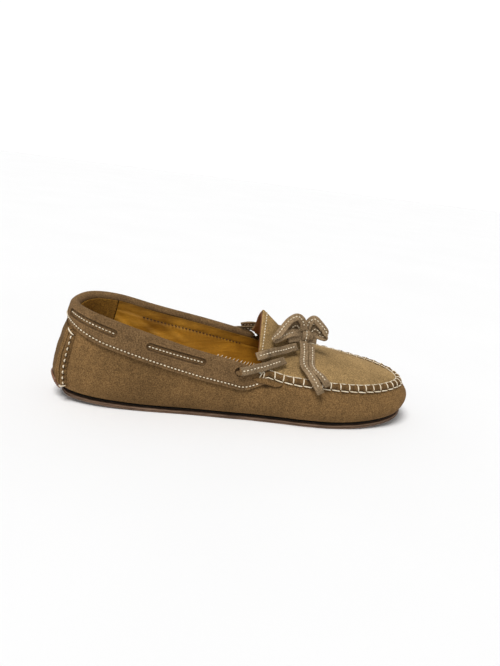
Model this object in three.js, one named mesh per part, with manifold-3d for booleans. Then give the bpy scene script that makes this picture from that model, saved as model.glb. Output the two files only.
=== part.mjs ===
// A suede driving moccasin for the right foot, tied with a flat lace in a bow.
// Millimetres. +X runs from heel to toe, -Y is the outer (lateral) side and +Z is up.
// The upper is described by one surface: stations run round the foot, and each station is a
// curve from the sole's edge up to the rim, or to the seam that joins the wall to the apron.
import * as THREE from 'three';
import Module from 'manifold-3d';
import { mergeVertices } from 'three/addons/utils/BufferGeometryUtils.js';

const wasm = await Module();
wasm.setup();

// ---------------------------------------------------------------- driving dimensions
const SUEDE = 1.6;             // thickness of the wall and the apron
const GAP = 0.3;               // clearance between pieces that lie on each other
const CURVED_GAP = 0.6;        // clearance between the curved layers inside the upper
const STIFFENER = 1;           // thickness of the heel counter
const LINING = 0.8;            // thickness of the leather lining
const OUTSOLE = 2.3;           // thickness of the outsole
const MIDSOLE = 1.5;           // thickness of the dark layer above it
const UPPER_BASE = OUTSOLE + MIDSOLE + 2 * GAP;   // height of the wall's lower edge over the tread
const TOE_SPRING = 5.5;        // lift of the sole at the toe
const TOE_SPRING_START = 168;  // x where the toe starts to lift
const TOE_SPRING_RUN = 67;
const HEEL_LIFT = 3;           // lift of the sole at the back of the heel
const HEEL_LIFT_START = 65;    // x behind which the heel curves up
const LACE_WIDTH = 5.6;
const LACE_THICKNESS = 1.8;
const THREAD = 0.35;           // radius of the sewing thread
const ROLL_DROP = 6.2;         // the wall's top edge below the top of the padded rim
const SEAM_DROP = 2.6;         // the wall's top edge below the apron seam
const INSOLE_BOARD = 1.4;      // thickness of the fibreboard
const HEEL_CUSHION = 2;        // thickness of the foam under the heel
const CUSHION_FRONT = [96, 120];   // x between which the sock comes down off the cushion
const SOCK = 1.2;              // thickness of the leather sock
const PLATE_INSETS = { midsole: 1.2, board: 2.8, cushion: 5.5, sock: 5 };   // from the sole's edge

// Each station: sole edge x, y; rim or seam x, y, z; then how the curve between them bulges:
// low handle out and up from the sole, high handle out and down from the rim.
const STATIONS = [
  [-5.5, 0, -0.5, 0, 66, 13, 8, 4, 22],
  [-0.5, -14, 8, -19.5, 64.5, 12, 9, 4.5, 20],
  [16, -22.5, 29, -28, 59.5, 11, 10, 3, 16],
  [44, -26.8, 54, -31.5, 53, 8, 11, 2, 14],
  [74, -28.5, 82, -32.5, 45.8, 8, 11, 2, 12],
  [101, -31.5, 105, -32.5, 40.7, 8, 11, 3, 11],
  [117, -33, 118.5, -32.3, 36.8, 8.5, 10, 4, 10],
  [127, -34.5, 128, -35, 34.8, 9, 9, 4, 9],
  [139, -36.5, 139.5, -37, 32.4, 9, 8, 5, 8],
  [155, -39.5, 157, -38, 30.8, 9, 8, 5, 8],
  [176, -41, 180, -36.5, 29, 8, 8, 5, 7],
  [199, -38, 203, -31, 28, 8, 8, 5, 7],
  [220.5, -29, 222, -19.5, 28, 8, 9, 7, 7],
  [233.5, -13, 231.8, -5, 27.5, 5, 10, 8, 7],
  [234, 5.5, 231.3, 11.5, 28.5, 5, 10, 8, 7],
  [224, 22, 221, 23.5, 30.5, 7.5, 9, 7, 7],
  [204, 31, 202, 30.5, 33, 8, 8, 5, 8],
  [183, 36, 180, 33.5, 36.5, 8, 8, 5, 9],
  [160, 35, 157, 33.5, 40, 8, 9, 4, 10],
  [142, 31, 140, 32.5, 42.8, 9, 10, 4, 11],
  [128, 27.5, 127, 31, 45.2, 10, 11, 3, 12],
  [104, 23.5, 105, 29, 50, 10, 11, 3, 13],
  [76, 22, 82, 28.2, 54.8, 11, 12, 2, 14],
  [46, 23, 54, 28, 60, 10, 12, 2, 15],
  [18, 23, 28, 26.5, 66, 10, 11, 3, 18],
  [0, 14.5, 8.5, 19.5, 67.5, 12, 9, 4.5, 20],
];
const COUNT = STATIONS.length;
const COLLAR_START = 20.0;     // station of the collar's inner (medial) front end
const COLLAR_END = COUNT + 6.7;   // and of its outer (lateral) front end, past the heel
const SEAM_START = 6.8;        // stations between which the apron is sewn to the wall
const SEAM_END = 19.8;
const TOE = 13.3;              // station of the toe's tip

// The line over the middle of the instep and the apron, from the tongue's tip to the toe.
const RIDGE_LINE = [
  [126, 0, 69.5], [143, 0, 55.5], [161, -0.5, 44.5], [178, -1, 40],
  [193.5, -1, 37.5], [208.5, -0.5, 34.5], [222, 1, 31.2], [233.5, 3, 28],
];
const TONGUE_TIP = -0.12;      // where the tongue starts, as a share of the apron's length

const COLOURS = {
  suede: 0x86694c, apron: 0x957a54, collar: 0x7b6450, lining: 0xb07a3a, sock: 0xb98443,
  sole: 0x6b4a33, edge: 0x241a14, thread: 0xe4d6bb, lace: 0x8d7352, foam: 0xd8cfae,
  board: 0xa58a66, tab: 0x7c4630,
};

// ---------------------------------------------------------------- curves and surfaces
const UP = new THREE.Vector3(0, 0, 1);
const closedCurve = (rows) => new THREE.CatmullRomCurve3(
  rows.map((row) => new THREE.Vector3(...row)), true, 'catmullrom', 0.5);
const footCurve = closedCurve(STATIONS.map((s) => [s[0], s[1], 0]));
const topCurve = closedCurve(STATIONS.map((s) => [s[2], s[3], s[4]]));
const lowHandle = closedCurve(STATIONS.map((s) => [s[5], 0, s[6]]));
const highHandle = closedCurve(STATIONS.map((s) => [s[7], 0, s[8]]));
const ridgeCurve = new THREE.CatmullRomCurve3(
  RIDGE_LINE.map((p) => new THREE.Vector3(...p)), false, 'catmullrom', 0.5);

const at = (curve, station) => curve.getPoint((((station / COUNT) % 1) + 1) % 1);
const clamp = (value, low, high) => Math.min(high, Math.max(low, value));
const mix = (a, b, t) => a + (b - a) * t;
const smooth = (low, high, value) => THREE.MathUtils.smoothstep(value, low, high);
const steps = (n, low, high) => Array.from({ length: n + 1 }, (_, i) => mix(low, high, i / n));

// How far the sole's tread is above the ground at x.
function spring(x) {
  const toe = Math.max(x - TOE_SPRING_START, 0) / TOE_SPRING_RUN;
  const heel = Math.max(HEEL_LIFT_START - x, 0) / HEEL_LIFT_START;
  return TOE_SPRING * toe * toe + HEEL_LIFT * heel * heel;
}

// The four points of a station's curve from the sole's edge to the rim, and its outward direction.
function station(s) {
  const foot = at(footCurve, s);
  foot.z = spring(foot.x) + UPPER_BASE;
  const top = at(topCurve, s);
  const along = at(footCurve, s + 0.01).sub(at(footCurve, s - 0.01));
  along.add(at(topCurve, s + 0.01)).sub(at(topCurve, s - 0.01));
  const out = new THREE.Vector3(along.y, -along.x, 0).normalize();
  const low = at(lowHandle, s);
  const high = at(highHandle, s);
  const footHandle = foot.clone().addScaledVector(out, low.x).addScaledVector(UP, low.z);
  const topHandle = top.clone().addScaledVector(out, high.x).addScaledVector(UP, -high.z);
  return { foot, footHandle, topHandle, top, out };
}

function wallCentre(s, v) {
  const c = station(s);
  return new THREE.CubicBezierCurve3(c.foot, c.footHandle, c.topHandle, c.top).getPoint(v);
}

// A point of the wall's outer face, moved out of the face by a height.
function wallPoint(s, v, height = 0) {
  const point = wallCentre(s, v);
  const step = 0.01;
  const around = wallCentre(s + step, v).sub(wallCentre(s - step, v));
  const upward = wallCentre(s, Math.min(v + step, 1)).sub(wallCentre(s, Math.max(v - step, 0)));
  return point.addScaledVector(around.cross(upward).normalize(), height);
}

// The share v of the wall's height that lies a distance down the wall from the rim.
function below(s, drop) {
  const c = station(s);
  const curve = new THREE.CubicBezierCurve3(c.foot, c.footHandle, c.topHandle, c.top);
  return curve.getUtoTmapping(0, clamp(curve.getLength() - drop, 0, curve.getLength()));
}

// A point near the rim: a distance out of the wall, and a distance up along it.
function rimPoint(s, out, up) {
  const c = station(s);
  const upward = c.top.clone().sub(c.topHandle).normalize();
  const around = topCurve.getTangent((((s / COUNT) % 1) + 1) % 1);
  const outward = around.cross(upward).normalize();
  return c.top.clone().addScaledVector(outward, out).addScaledVector(upward, up);
}

// A point of the apron and tongue: k runs from the tongue's tip to the toe, t across from -1 to 1.
function apronCentre(k, t) {
  const outer = at(topCurve, mix(SEAM_START, TOE, k));
  const inner = at(topCurve, mix(SEAM_END, TOE, k));
  const ridge = ridgeCurve.getPoint(clamp((k - TONGUE_TIP) / (1 - TONGUE_TIP), 0, 1));
  const base = outer.clone().lerp(inner, (1 + t) / 2);
  const middle = outer.clone().lerp(inner, 0.5);
  const power = mix(1.1, 2.2, smooth(0, 0.4, k));
  return base.addScaledVector(ridge.sub(middle), 1 - Math.abs(t) ** power);
}

function apronPoint(k, t, height = 0) {
  const step = 0.01;
  const forward = apronCentre(k + step, t).sub(apronCentre(k - step, t));
  const across = apronCentre(k, t + step).sub(apronCentre(k, t - step));
  return apronCentre(k, t).addScaledVector(forward.cross(across).normalize(), height);
}

// ---------------------------------------------------------------- solids
function solid(points, faces) {
  const geometry = new THREE.BufferGeometry();
  geometry.setAttribute('position', new THREE.Float32BufferAttribute(points.flatMap((p) => [...p]), 3));
  let volume = 0;
  for (const [a, b, c] of faces) {
    volume += points[a].dot(points[b].clone().cross(points[c]));
  }
  const turned = volume < 0 ? faces.map(([a, b, c]) => [a, c, b]) : faces;
  geometry.setIndex(turned.flat());
  return geometry;
}

// A solid sheet between two matching grids of points. The grid's first direction may close on itself.
function sheet(outer, inner, closed = false) {
  const rows = outer.length;
  const columns = outer[0].length;
  const points = [...outer.flat(), ...inner.flat()];
  const over = (i, j) => (i % rows) * columns + j;
  const under = (i, j) => rows * columns + over(i, j);
  const faces = [];
  const quad = (a, b, c, d) => faces.push([a, b, c], [a, c, d]);
  const lastRow = closed ? rows : rows - 1;
  for (let i = 0; i < lastRow; i += 1) {
    for (let j = 0; j < columns - 1; j += 1) {
      quad(over(i, j), over(i + 1, j), over(i + 1, j + 1), over(i, j + 1));
      quad(under(i, j), under(i, j + 1), under(i + 1, j + 1), under(i + 1, j));
    }
    quad(over(i, 0), under(i, 0), under(i + 1, 0), over(i + 1, 0));
    quad(over(i, columns - 1), over(i + 1, columns - 1), under(i + 1, columns - 1), under(i, columns - 1));
  }
  if (!closed) {
    for (let j = 0; j < columns - 1; j += 1) {
      quad(over(0, j), over(0, j + 1), under(0, j + 1), under(0, j));
      quad(over(rows - 1, j), under(rows - 1, j), under(rows - 1, j + 1), over(rows - 1, j + 1));
    }
  }
  return solid(points, faces);
}

// A patch of the wall between two heights out of its face; low and high give its edges at a station.
function wallPatch(stations, low, high, outerHeight, innerHeight, rows = 4, closed = false) {
  const face = (height) => stations.map((s) => (
    steps(rows, low(s), high(s)).map((v) => wallPoint(s, v, height))));
  return sheet(face(outerHeight), face(innerHeight), closed);
}

// A patch of the apron that stops a distance short of the seam on both sides.
function apronPatch(kLow, kHigh, margin, outerHeight, innerHeight, rows = 16, columns = 8) {
  const face = (height) => steps(rows, kLow, kHigh).map((k) => {
    const width = apronCentre(k, -1).distanceTo(apronCentre(k, 1));
    const edge = 1 - 2 * margin / width;
    return steps(columns, -edge, edge).map((t) => apronPoint(k, t, height));
  });
  return sheet(face(outerHeight), face(innerHeight));
}

// A plate under the foot: lines run across between the two sides of the sole's outline.
function footPlate(inset, topHeight, bottomHeight, from = 0.03, to = 0.97) {
  const edge = (s) => {
    const centre = at(footCurve, s);
    const along = at(footCurve, s + 0.01).sub(at(footCurve, s - 0.01));
    return centre.addScaledVector(new THREE.Vector3(along.y, -along.x, 0).normalize(), -inset);
  };
  const face = (height) => steps(20, from, to).map((u) => {
    const outer = edge(TOE * u);
    const inner = edge(mix(COUNT, TOE, u));
    return steps(4, 0, 1).map((t) => {
      const p = outer.clone().lerp(inner, t);
      p.z = spring(p.x) + height(p.x);
      return p;
    });
  });
  return sheet(face(topHeight), face(bottomHeight));
}

// A round bar of a small radius along a list of points.
function bar(points, radius, segments, sides = 6) {
  const section = new THREE.Shape();
  for (let i = 0; i < sides; i += 1) {
    const angle = (2 * Math.PI * i) / sides;
    const corner = [radius * Math.cos(angle), radius * Math.sin(angle)];
    if (i === 0) {
      section.moveTo(...corner);
    } else {
      section.lineTo(...corner);
    }
  }
  section.closePath();
  const path = new THREE.CatmullRomCurve3(points, false, 'centripetal');
  return new THREE.ExtrudeGeometry(section, { steps: segments, bevelEnabled: false, extrudePath: path });
}

// A flat strip of lace along a route. Each row is a point and the direction the strip's face looks.
function strip(route, width = LACE_WIDTH, thickness = LACE_THICKNESS, segments = 11) {
  const points = route.map(([point]) => new THREE.Vector3(...point));
  const faces = route.map(([, look]) => new THREE.Vector3(...look));
  const path = new THREE.CatmullRomCurve3(points, false, 'centripetal');
  const looks = new THREE.CatmullRomCurve3(faces, false, 'catmullrom', 0.5);
  const row = (u, side) => {
    const centre = path.getPoint(u);
    const across = path.getTangent(u).cross(looks.getPoint(u)).normalize();
    const face = across.clone().cross(path.getTangent(u)).normalize();
    centre.addScaledVector(face, side * thickness / 2);
    return [-0.5, 0.5].map((share) => centre.clone().addScaledVector(across, share * width));
  };
  const stretch = steps(segments, 0, 1);
  return sheet(stretch.map((u) => row(u, 1)), stretch.map((u) => row(u, -1)));
}

function welded(geometry) {
  const plain = geometry.index ? geometry : mergeVertices(geometry);
  plain.deleteAttribute('normal');
  plain.deleteAttribute('uv');
  return mergeVertices(plain, 1e-4);
}

function toManifold(geometry) {
  const plain = welded(geometry);
  return new wasm.Manifold(new wasm.Mesh({
    numProp: 3,
    vertProperties: new Float32Array(plain.attributes.position.array),
    triVerts: new Uint32Array(plain.index.array),
  }));
}

function fromManifold(body) {
  const mesh = body.getMesh();
  const geometry = new THREE.BufferGeometry();
  geometry.setAttribute('position', new THREE.BufferAttribute(new Float32Array(mesh.vertProperties), 3));
  geometry.setIndex(Array.from(mesh.triVerts));
  return geometry;
}

// ---------------------------------------------------------------- the assembly
const moccasin = new THREE.Group();
const upright = new THREE.Group();   // everything but the free lace, whose box sets the origin
const freeLace = new THREE.Group();
moccasin.add(upright, freeLace);

function add(name, geometry, colour, roughness = 0.95, group = upright) {
  const material = new THREE.MeshStandardMaterial({ color: colour, roughness, metalness: 0 });
  const mesh = new THREE.Mesh(geometry, material);
  mesh.name = name;
  group.add(mesh);
}

// ---------------------------------------------------------------- sole and footbed
function addSole() {
  const flat = (height) => () => height;
  const layer = OUTSOLE + GAP;
  const board = UPPER_BASE + INSOLE_BOARD;
  const cushion = board + GAP;
  const sock = (x) => cushion + (HEEL_CUSHION + GAP) * (1 - smooth(...CUSHION_FRONT, x));
  const insets = PLATE_INSETS;
  add('outsole', footPlate(0, flat(OUTSOLE), flat(0), 0.02, 0.98), COLOURS.sole, 0.8);
  add('midsole', footPlate(insets.midsole, flat(layer + MIDSOLE), flat(layer)), COLOURS.edge, 0.9);
  add('insole_board', footPlate(insets.board, flat(board), flat(UPPER_BASE), 0.05, 0.95), COLOURS.board);
  add('heel_cushion', footPlate(insets.cushion, flat(cushion + HEEL_CUSHION), flat(cushion), 0.07, 0.34),
    COLOURS.foam);
  add('sock_liner', footPlate(insets.sock, (x) => sock(x) + SOCK, sock, 0.06, 0.94), COLOURS.sock, 0.6);
}

// ---------------------------------------------------------------- wall and what stiffens it
const COUNTER = { reach: 2.3, low: 0.1, high: 0.66 };   // stations round the heel, shares of the height
const PUFF = { from: 10.8, to: 15.8, low: 0.12, high: 0.78, thickness: 0.8 };
const SEAM_BLEND = 0.1;        // stations over which the wall's top edge changes its drop

function wallTop(s) {
  const inFront = smooth(SEAM_START - SEAM_BLEND, SEAM_START + SEAM_BLEND, s);
  const bySeam = inFront * (1 - smooth(SEAM_END - SEAM_BLEND, SEAM_END + SEAM_BLEND, s));
  return below(s, mix(ROLL_DROP, SEAM_DROP, bySeam));
}

function addWall() {
  const allRound = steps(60, 0, COUNT).slice(0, -1);
  add('wall', wallPatch(allRound, () => 0, wallTop, 0, -SUEDE, 6, true), COLOURS.suede);
  const face = -SUEDE - CURVED_GAP;
  const counter = wallPatch(steps(12, -COUNTER.reach, COUNTER.reach), () => COUNTER.low,
    () => COUNTER.high, face, face - STIFFENER, 6);
  add('heel_counter', counter, COLOURS.board);
  const puff = wallPatch(steps(12, PUFF.from, PUFF.to), () => PUFF.low, () => PUFF.high,
    face, face - PUFF.thickness);
  add('toe_puff', puff, COLOURS.board);
}

// ---------------------------------------------------------------- leather lining
const LINING_DEPTH = 3.9;      // the lining's outer face, in from the wall's face
const LINING_BOTTOM = 0.14;    // its lower edge, as a share of the wall's height
const TOE_LINING_DROP = 5.6;   // its top edge in front, below the apron seam
const VAMP_MARGIN = 5.5;       // the vamp lining's edge, in from the apron seam
// The stations between which each piece of the side lining lies.
const LININGS = {
  heel_lining: [-1.95, 1.95], lining_lateral: [1.98, 6.35], lining_medial: [19.35, COUNT - 1.98],
};
const TOE_LINING = [6.75, 19.3];

function addLinings() {
  const bottom = () => LINING_BOTTOM;
  const rim = (s) => below(s, ROLL_RADIUS + COLLAR_INSIDE + GAP);
  const front = (s) => below(s, TOE_LINING_DROP);
  const lining = (stations, top) => (
    wallPatch(stations, bottom, top, -LINING_DEPTH, -LINING_DEPTH - LINING));
  for (const [name, [from, to]] of Object.entries(LININGS)) {
    add(name, lining(steps(12, from, to), rim), COLOURS.lining, 0.6);
  }
  add('toe_lining', lining(steps(28, ...TOE_LINING), front), COLOURS.lining, 0.6);
  const face = -SUEDE - GAP;
  const vamp = apronPatch(0.03, 0.9, VAMP_MARGIN, face, face - LINING, 14, 8);
  add('vamp_lining', vamp, COLOURS.lining, 0.6);
}

// ---------------------------------------------------------------- apron, tongue and the seam
const APRON_ENDS = [0.006, 0.945];   // the apron's back and front edges, as shares of its length
const APRON_MARGIN = 3.2;      // its sides stop this far inside the seam's line
const RIDGE_RADIUS = 1.9;      // of the gathered, stitched edge
const RIDGE_OUT = -0.3;        // the ridge's middle, out from the rim's line
const RIDGE_UP = -0.2;         // and up from it
const RIDGE_THREAD_OUT = 2.3;  // the hand-sewn thread's middle, out from the rim's line

function addApron() {
  add('apron', apronPatch(...APRON_ENDS, APRON_MARGIN, 0, -SUEDE, 18, 10), COLOURS.apron);
  const ridge = steps(48, SEAM_START + 0.05, SEAM_END - 0.05).map((s) => rimPoint(s, RIDGE_OUT, RIDGE_UP));
  add('apron_seam', bar(ridge, RIDGE_RADIUS, 46), COLOURS.suede);
  const thread = steps(40, SEAM_START + 0.15, SEAM_END - 0.15).map((s) => (
    rimPoint(s, RIDGE_THREAD_OUT, RIDGE_UP)));
  add('apron_thread', bar(thread, THREAD, 40), COLOURS.thread);
}

const TONGUE_FRONT = -0.012;   // the tongue's front edge, as a share of the apron's length
const TONGUE_MARGIN = 8;       // its sides stop this far inside the seam's line
const TONGUE_STITCH = 0.022;   // its stitch row, in front of its tip
const TONGUE_STITCH_HALF = 0.7;   // how far across that row runs to each side

function addTongue() {
  const flap = (outer, inner) => apronPatch(TONGUE_TIP, TONGUE_FRONT, TONGUE_MARGIN, outer, inner, 4, 10);
  const face = -SUEDE - GAP;
  add('tongue', flap(0, -SUEDE), COLOURS.apron);
  add('tongue_lining', flap(face, face - LINING), COLOURS.tab, 0.6);
  const row = steps(12, -TONGUE_STITCH_HALF, TONGUE_STITCH_HALF).map((t) => (
    apronPoint(TONGUE_TIP + TONGUE_STITCH, t, 0.8)));
  add('tongue_thread', bar(row, THREAD, 20), COLOURS.thread);
}

// ---------------------------------------------------------------- padded collar
const COLLAR_HEIGHT = 3.0;     // the collar's outer face over the wall
const COLLAR_SKIN = 1.2;       // thickness of the collar's suede
const ROLL_CENTRE = -0.4;      // the padded roll's middle, in from the wall's face
const ROLL_RADIUS = COLLAR_HEIGHT - ROLL_CENTRE;
const PADDING = 1.3;           // half the padding's thickness
const COLLAR_INSIDE = 0.3;     // how far the collar turns down inside the shoe
const COLLAR_DEPTH = { heel: 12.4, side: 18.4, front: 17.6 };   // down the wall from the rim
const COLLAR_TAPER = { from: 108, to: 130, by: 8.6 };   // x between which it gets shallower, and by how much
const LACE_DEPTH = { heel: 6.2, side: 7.9, front: 6.3 };      // the lace's middle below the rim

const stationsFromHeel = (s) => Math.min(Math.abs(s - COUNT), Math.abs(s));

// The collar's depth down the wall grows from the heel to the side, and its front ends taper.
function collarDrop(s) {
  const fromHeel = stationsFromHeel(s);
  const atSide = mix(COLLAR_DEPTH.heel, COLLAR_DEPTH.side, smooth(0, 1.9, fromHeel));
  const depth = atSide + (COLLAR_DEPTH.front - COLLAR_DEPTH.side) * smooth(3, 5.2, fromHeel);
  return depth - COLLAR_TAPER.by * smooth(COLLAR_TAPER.from, COLLAR_TAPER.to, at(topCurve, s).x);
}

// How far the lace's middle runs below the rim, inside the collar.
function laceDrop(s) {
  const fromHeel = stationsFromHeel(s);
  const atSide = mix(LACE_DEPTH.heel, LACE_DEPTH.side, smooth(0.2, 2, fromHeel));
  return atSide + (LACE_DEPTH.front - LACE_DEPTH.side) * smooth(2.7, 4.5, fromHeel);
}

// The collar's outer face (skin 0) or inner face at a station, from its lower edge over the roll.
function collarSection(s, skin) {
  const drop = collarDrop(s);
  const leg = [1, 0.75, 0.52].map((share) => wallPoint(s, below(s, drop * share), COLLAR_HEIGHT - skin));
  const radius = ROLL_RADIUS - skin;
  const roll = steps(5, 0, Math.PI).map((angle) => rimPoint(s,
    ROLL_CENTRE + radius * Math.cos(angle), -ROLL_RADIUS + radius * Math.sin(angle)));
  const inside = rimPoint(s, ROLL_CENTRE - radius, -ROLL_RADIUS - COLLAR_INSIDE);
  return [...leg, ...roll, inside];
}

const WINDOWS = [[0.42, 2.0], [2.74, 4.12]];   // stations of each side's two windows
const WINDOW_HALF = 2.7;       // half a window's height
const SLIT = 4.97;             // station where the lace comes out through the collar
const STITCH_INSET = 2.6;      // the collar's stitch row, up from its lower edge
const STITCH_HEIGHT = 3.7;     // its thread's middle over the wall

// A pill-shaped cutter through the collar's outer face, between two stations.
function windowCutter(from, to) {
  const face = (height) => steps(10, 0, 1).map((u) => {
    const s = mix(from, to, u);
    const reach = WINDOW_HALF * Math.max(Math.sqrt(Math.min(1, 8 * u * (1 - u))), 0.25);
    const centre = laceDrop(s);
    return [centre + reach, centre - reach].map((drop) => wallPoint(s, below(s, drop), height));
  });
  return toManifold(sheet(face(COLLAR_HEIGHT + 1), face(COLLAR_HEIGHT - COLLAR_SKIN - 0.5)));
}

function addCollar() {
  const stations = steps(48, COLLAR_START, COLLAR_END);
  let collar = toManifold(sheet(stations.map((s) => collarSection(s, 0)),
    stations.map((s) => collarSection(s, COLLAR_SKIN))));
  for (const [from, to] of WINDOWS) {
    collar = collar.subtract(windowCutter(from, to));
    collar = collar.subtract(windowCutter(COUNT - to, COUNT - from));
  }
  collar = collar.subtract(windowCutter(SLIT, SLIT + 0.2));
  collar = collar.subtract(windowCutter(COUNT - SLIT + 0.1, COUNT - SLIT + 0.3));
  add('collar', fromManifold(collar), COLOURS.collar);

  const row = steps(50, COLLAR_START + 0.2, COLLAR_END - 0.2).map((s) => (
    wallPoint(s, below(s, collarDrop(s) - STITCH_INSET), STITCH_HEIGHT)));
  add('collar_thread', bar(row, THREAD, 60), COLOURS.thread);
}

// The padding fills the roll over a nearly flat base.
function addPadding() {
  const height = ROLL_RADIUS - COLLAR_SKIN - GAP;
  const padding = (share) => steps(44, COLLAR_START + 0.25, COLLAR_END - 0.25).map((s) => (
    steps(4, 0, Math.PI).map((angle) => rimPoint(s,
      ROLL_CENTRE + PADDING * Math.cos(angle), -ROLL_RADIUS + share * height * Math.sin(angle)))));
  add('collar_padding', sheet(padding(1), padding(-0.05)), COLOURS.foam);
}

const HELD_LACE = 1.1;         // thickness of the lace where the collar presses it flat

// The lace's stretch inside the collar, from one slit round the heel to the other.
function addCollarLace() {
  const half = LACE_WIDTH / 2 - 0.2;
  const low = (s) => below(s, laceDrop(s) + half);
  const high = (s) => below(s, laceDrop(s) - half);
  const stations = steps(44, COUNT - SLIT + 0.1, COUNT + SLIT + 0.15);
  add('collar_lace', wallPatch(stations, low, high, GAP + HELD_LACE, GAP, 1), COLOURS.lace);
}

// ---------------------------------------------------------------- heel
// Stations to each side of the heel's middle, shares of the wall's height, and heights over the wall.
const HEEL_RIDGE = { from: 0.52, to: 0.76, low: 0.12, height: 2.6 };
const HEEL_THREAD = { at: 0.64, low: 0.14, high: 0.78, height: 3.4 };
const HEEL_STRIP = { reach: 0.46, low: 0.1, height: 1.5 };
const HEEL_TAB = { reach: 0.42, low: 0.04, high: 0.24, outer: 2.9, inner: 1.8 };
const HEEL_TOP = 3.2;          // where ridges and strip end, below the collar's edge
const HEEL_SPREAD = 0.5;       // how much further apart the pieces' sides are at the sole

// A patch on the back of the heel, whose sides spread towards the sole.
function heelPatch([from, to], columns, low, high, outerHeight, innerHeight, rows) {
  const spread = (v) => 1 + HEEL_SPREAD * (1 - v);
  const face = (height) => steps(columns, from, to).map((s) => (
    steps(rows, low, high(s)).map((v) => wallPoint(s * spread(v), v, height))));
  return sheet(face(outerHeight), face(innerHeight));
}

function addHeel() {
  const high = (s) => below(s, collarDrop(s) + HEEL_TOP);
  for (const [name, side] of [['lateral', 1], ['medial', -1]]) {
    const sides = [side * HEEL_RIDGE.from, side * HEEL_RIDGE.to];
    const ridge = heelPatch(sides, 2, HEEL_RIDGE.low, high, HEEL_RIDGE.height, GAP, 10);
    add(`heel_ridge_${name}`, ridge, COLOURS.suede);
    const row = steps(10, HEEL_THREAD.low, HEEL_THREAD.high).map((v) => (
      wallPoint(side * HEEL_THREAD.at * (1 + HEEL_SPREAD * (1 - v)), v, HEEL_THREAD.height)));
    add(`heel_thread_${name}`, bar(row, THREAD, 16), COLOURS.thread);
  }
  const strip = heelPatch([-HEEL_STRIP.reach, HEEL_STRIP.reach], 6, HEEL_STRIP.low, high,
    HEEL_STRIP.height, GAP, 8);
  add('heel_strip', strip, COLOURS.suede);
  const tab = heelPatch([-HEEL_TAB.reach, HEEL_TAB.reach], 6, HEEL_TAB.low, () => HEEL_TAB.high,
    HEEL_TAB.outer, HEEL_TAB.inner, 4);
  add('heel_tab', tab, COLOURS.tab, 0.6);
}

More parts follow.
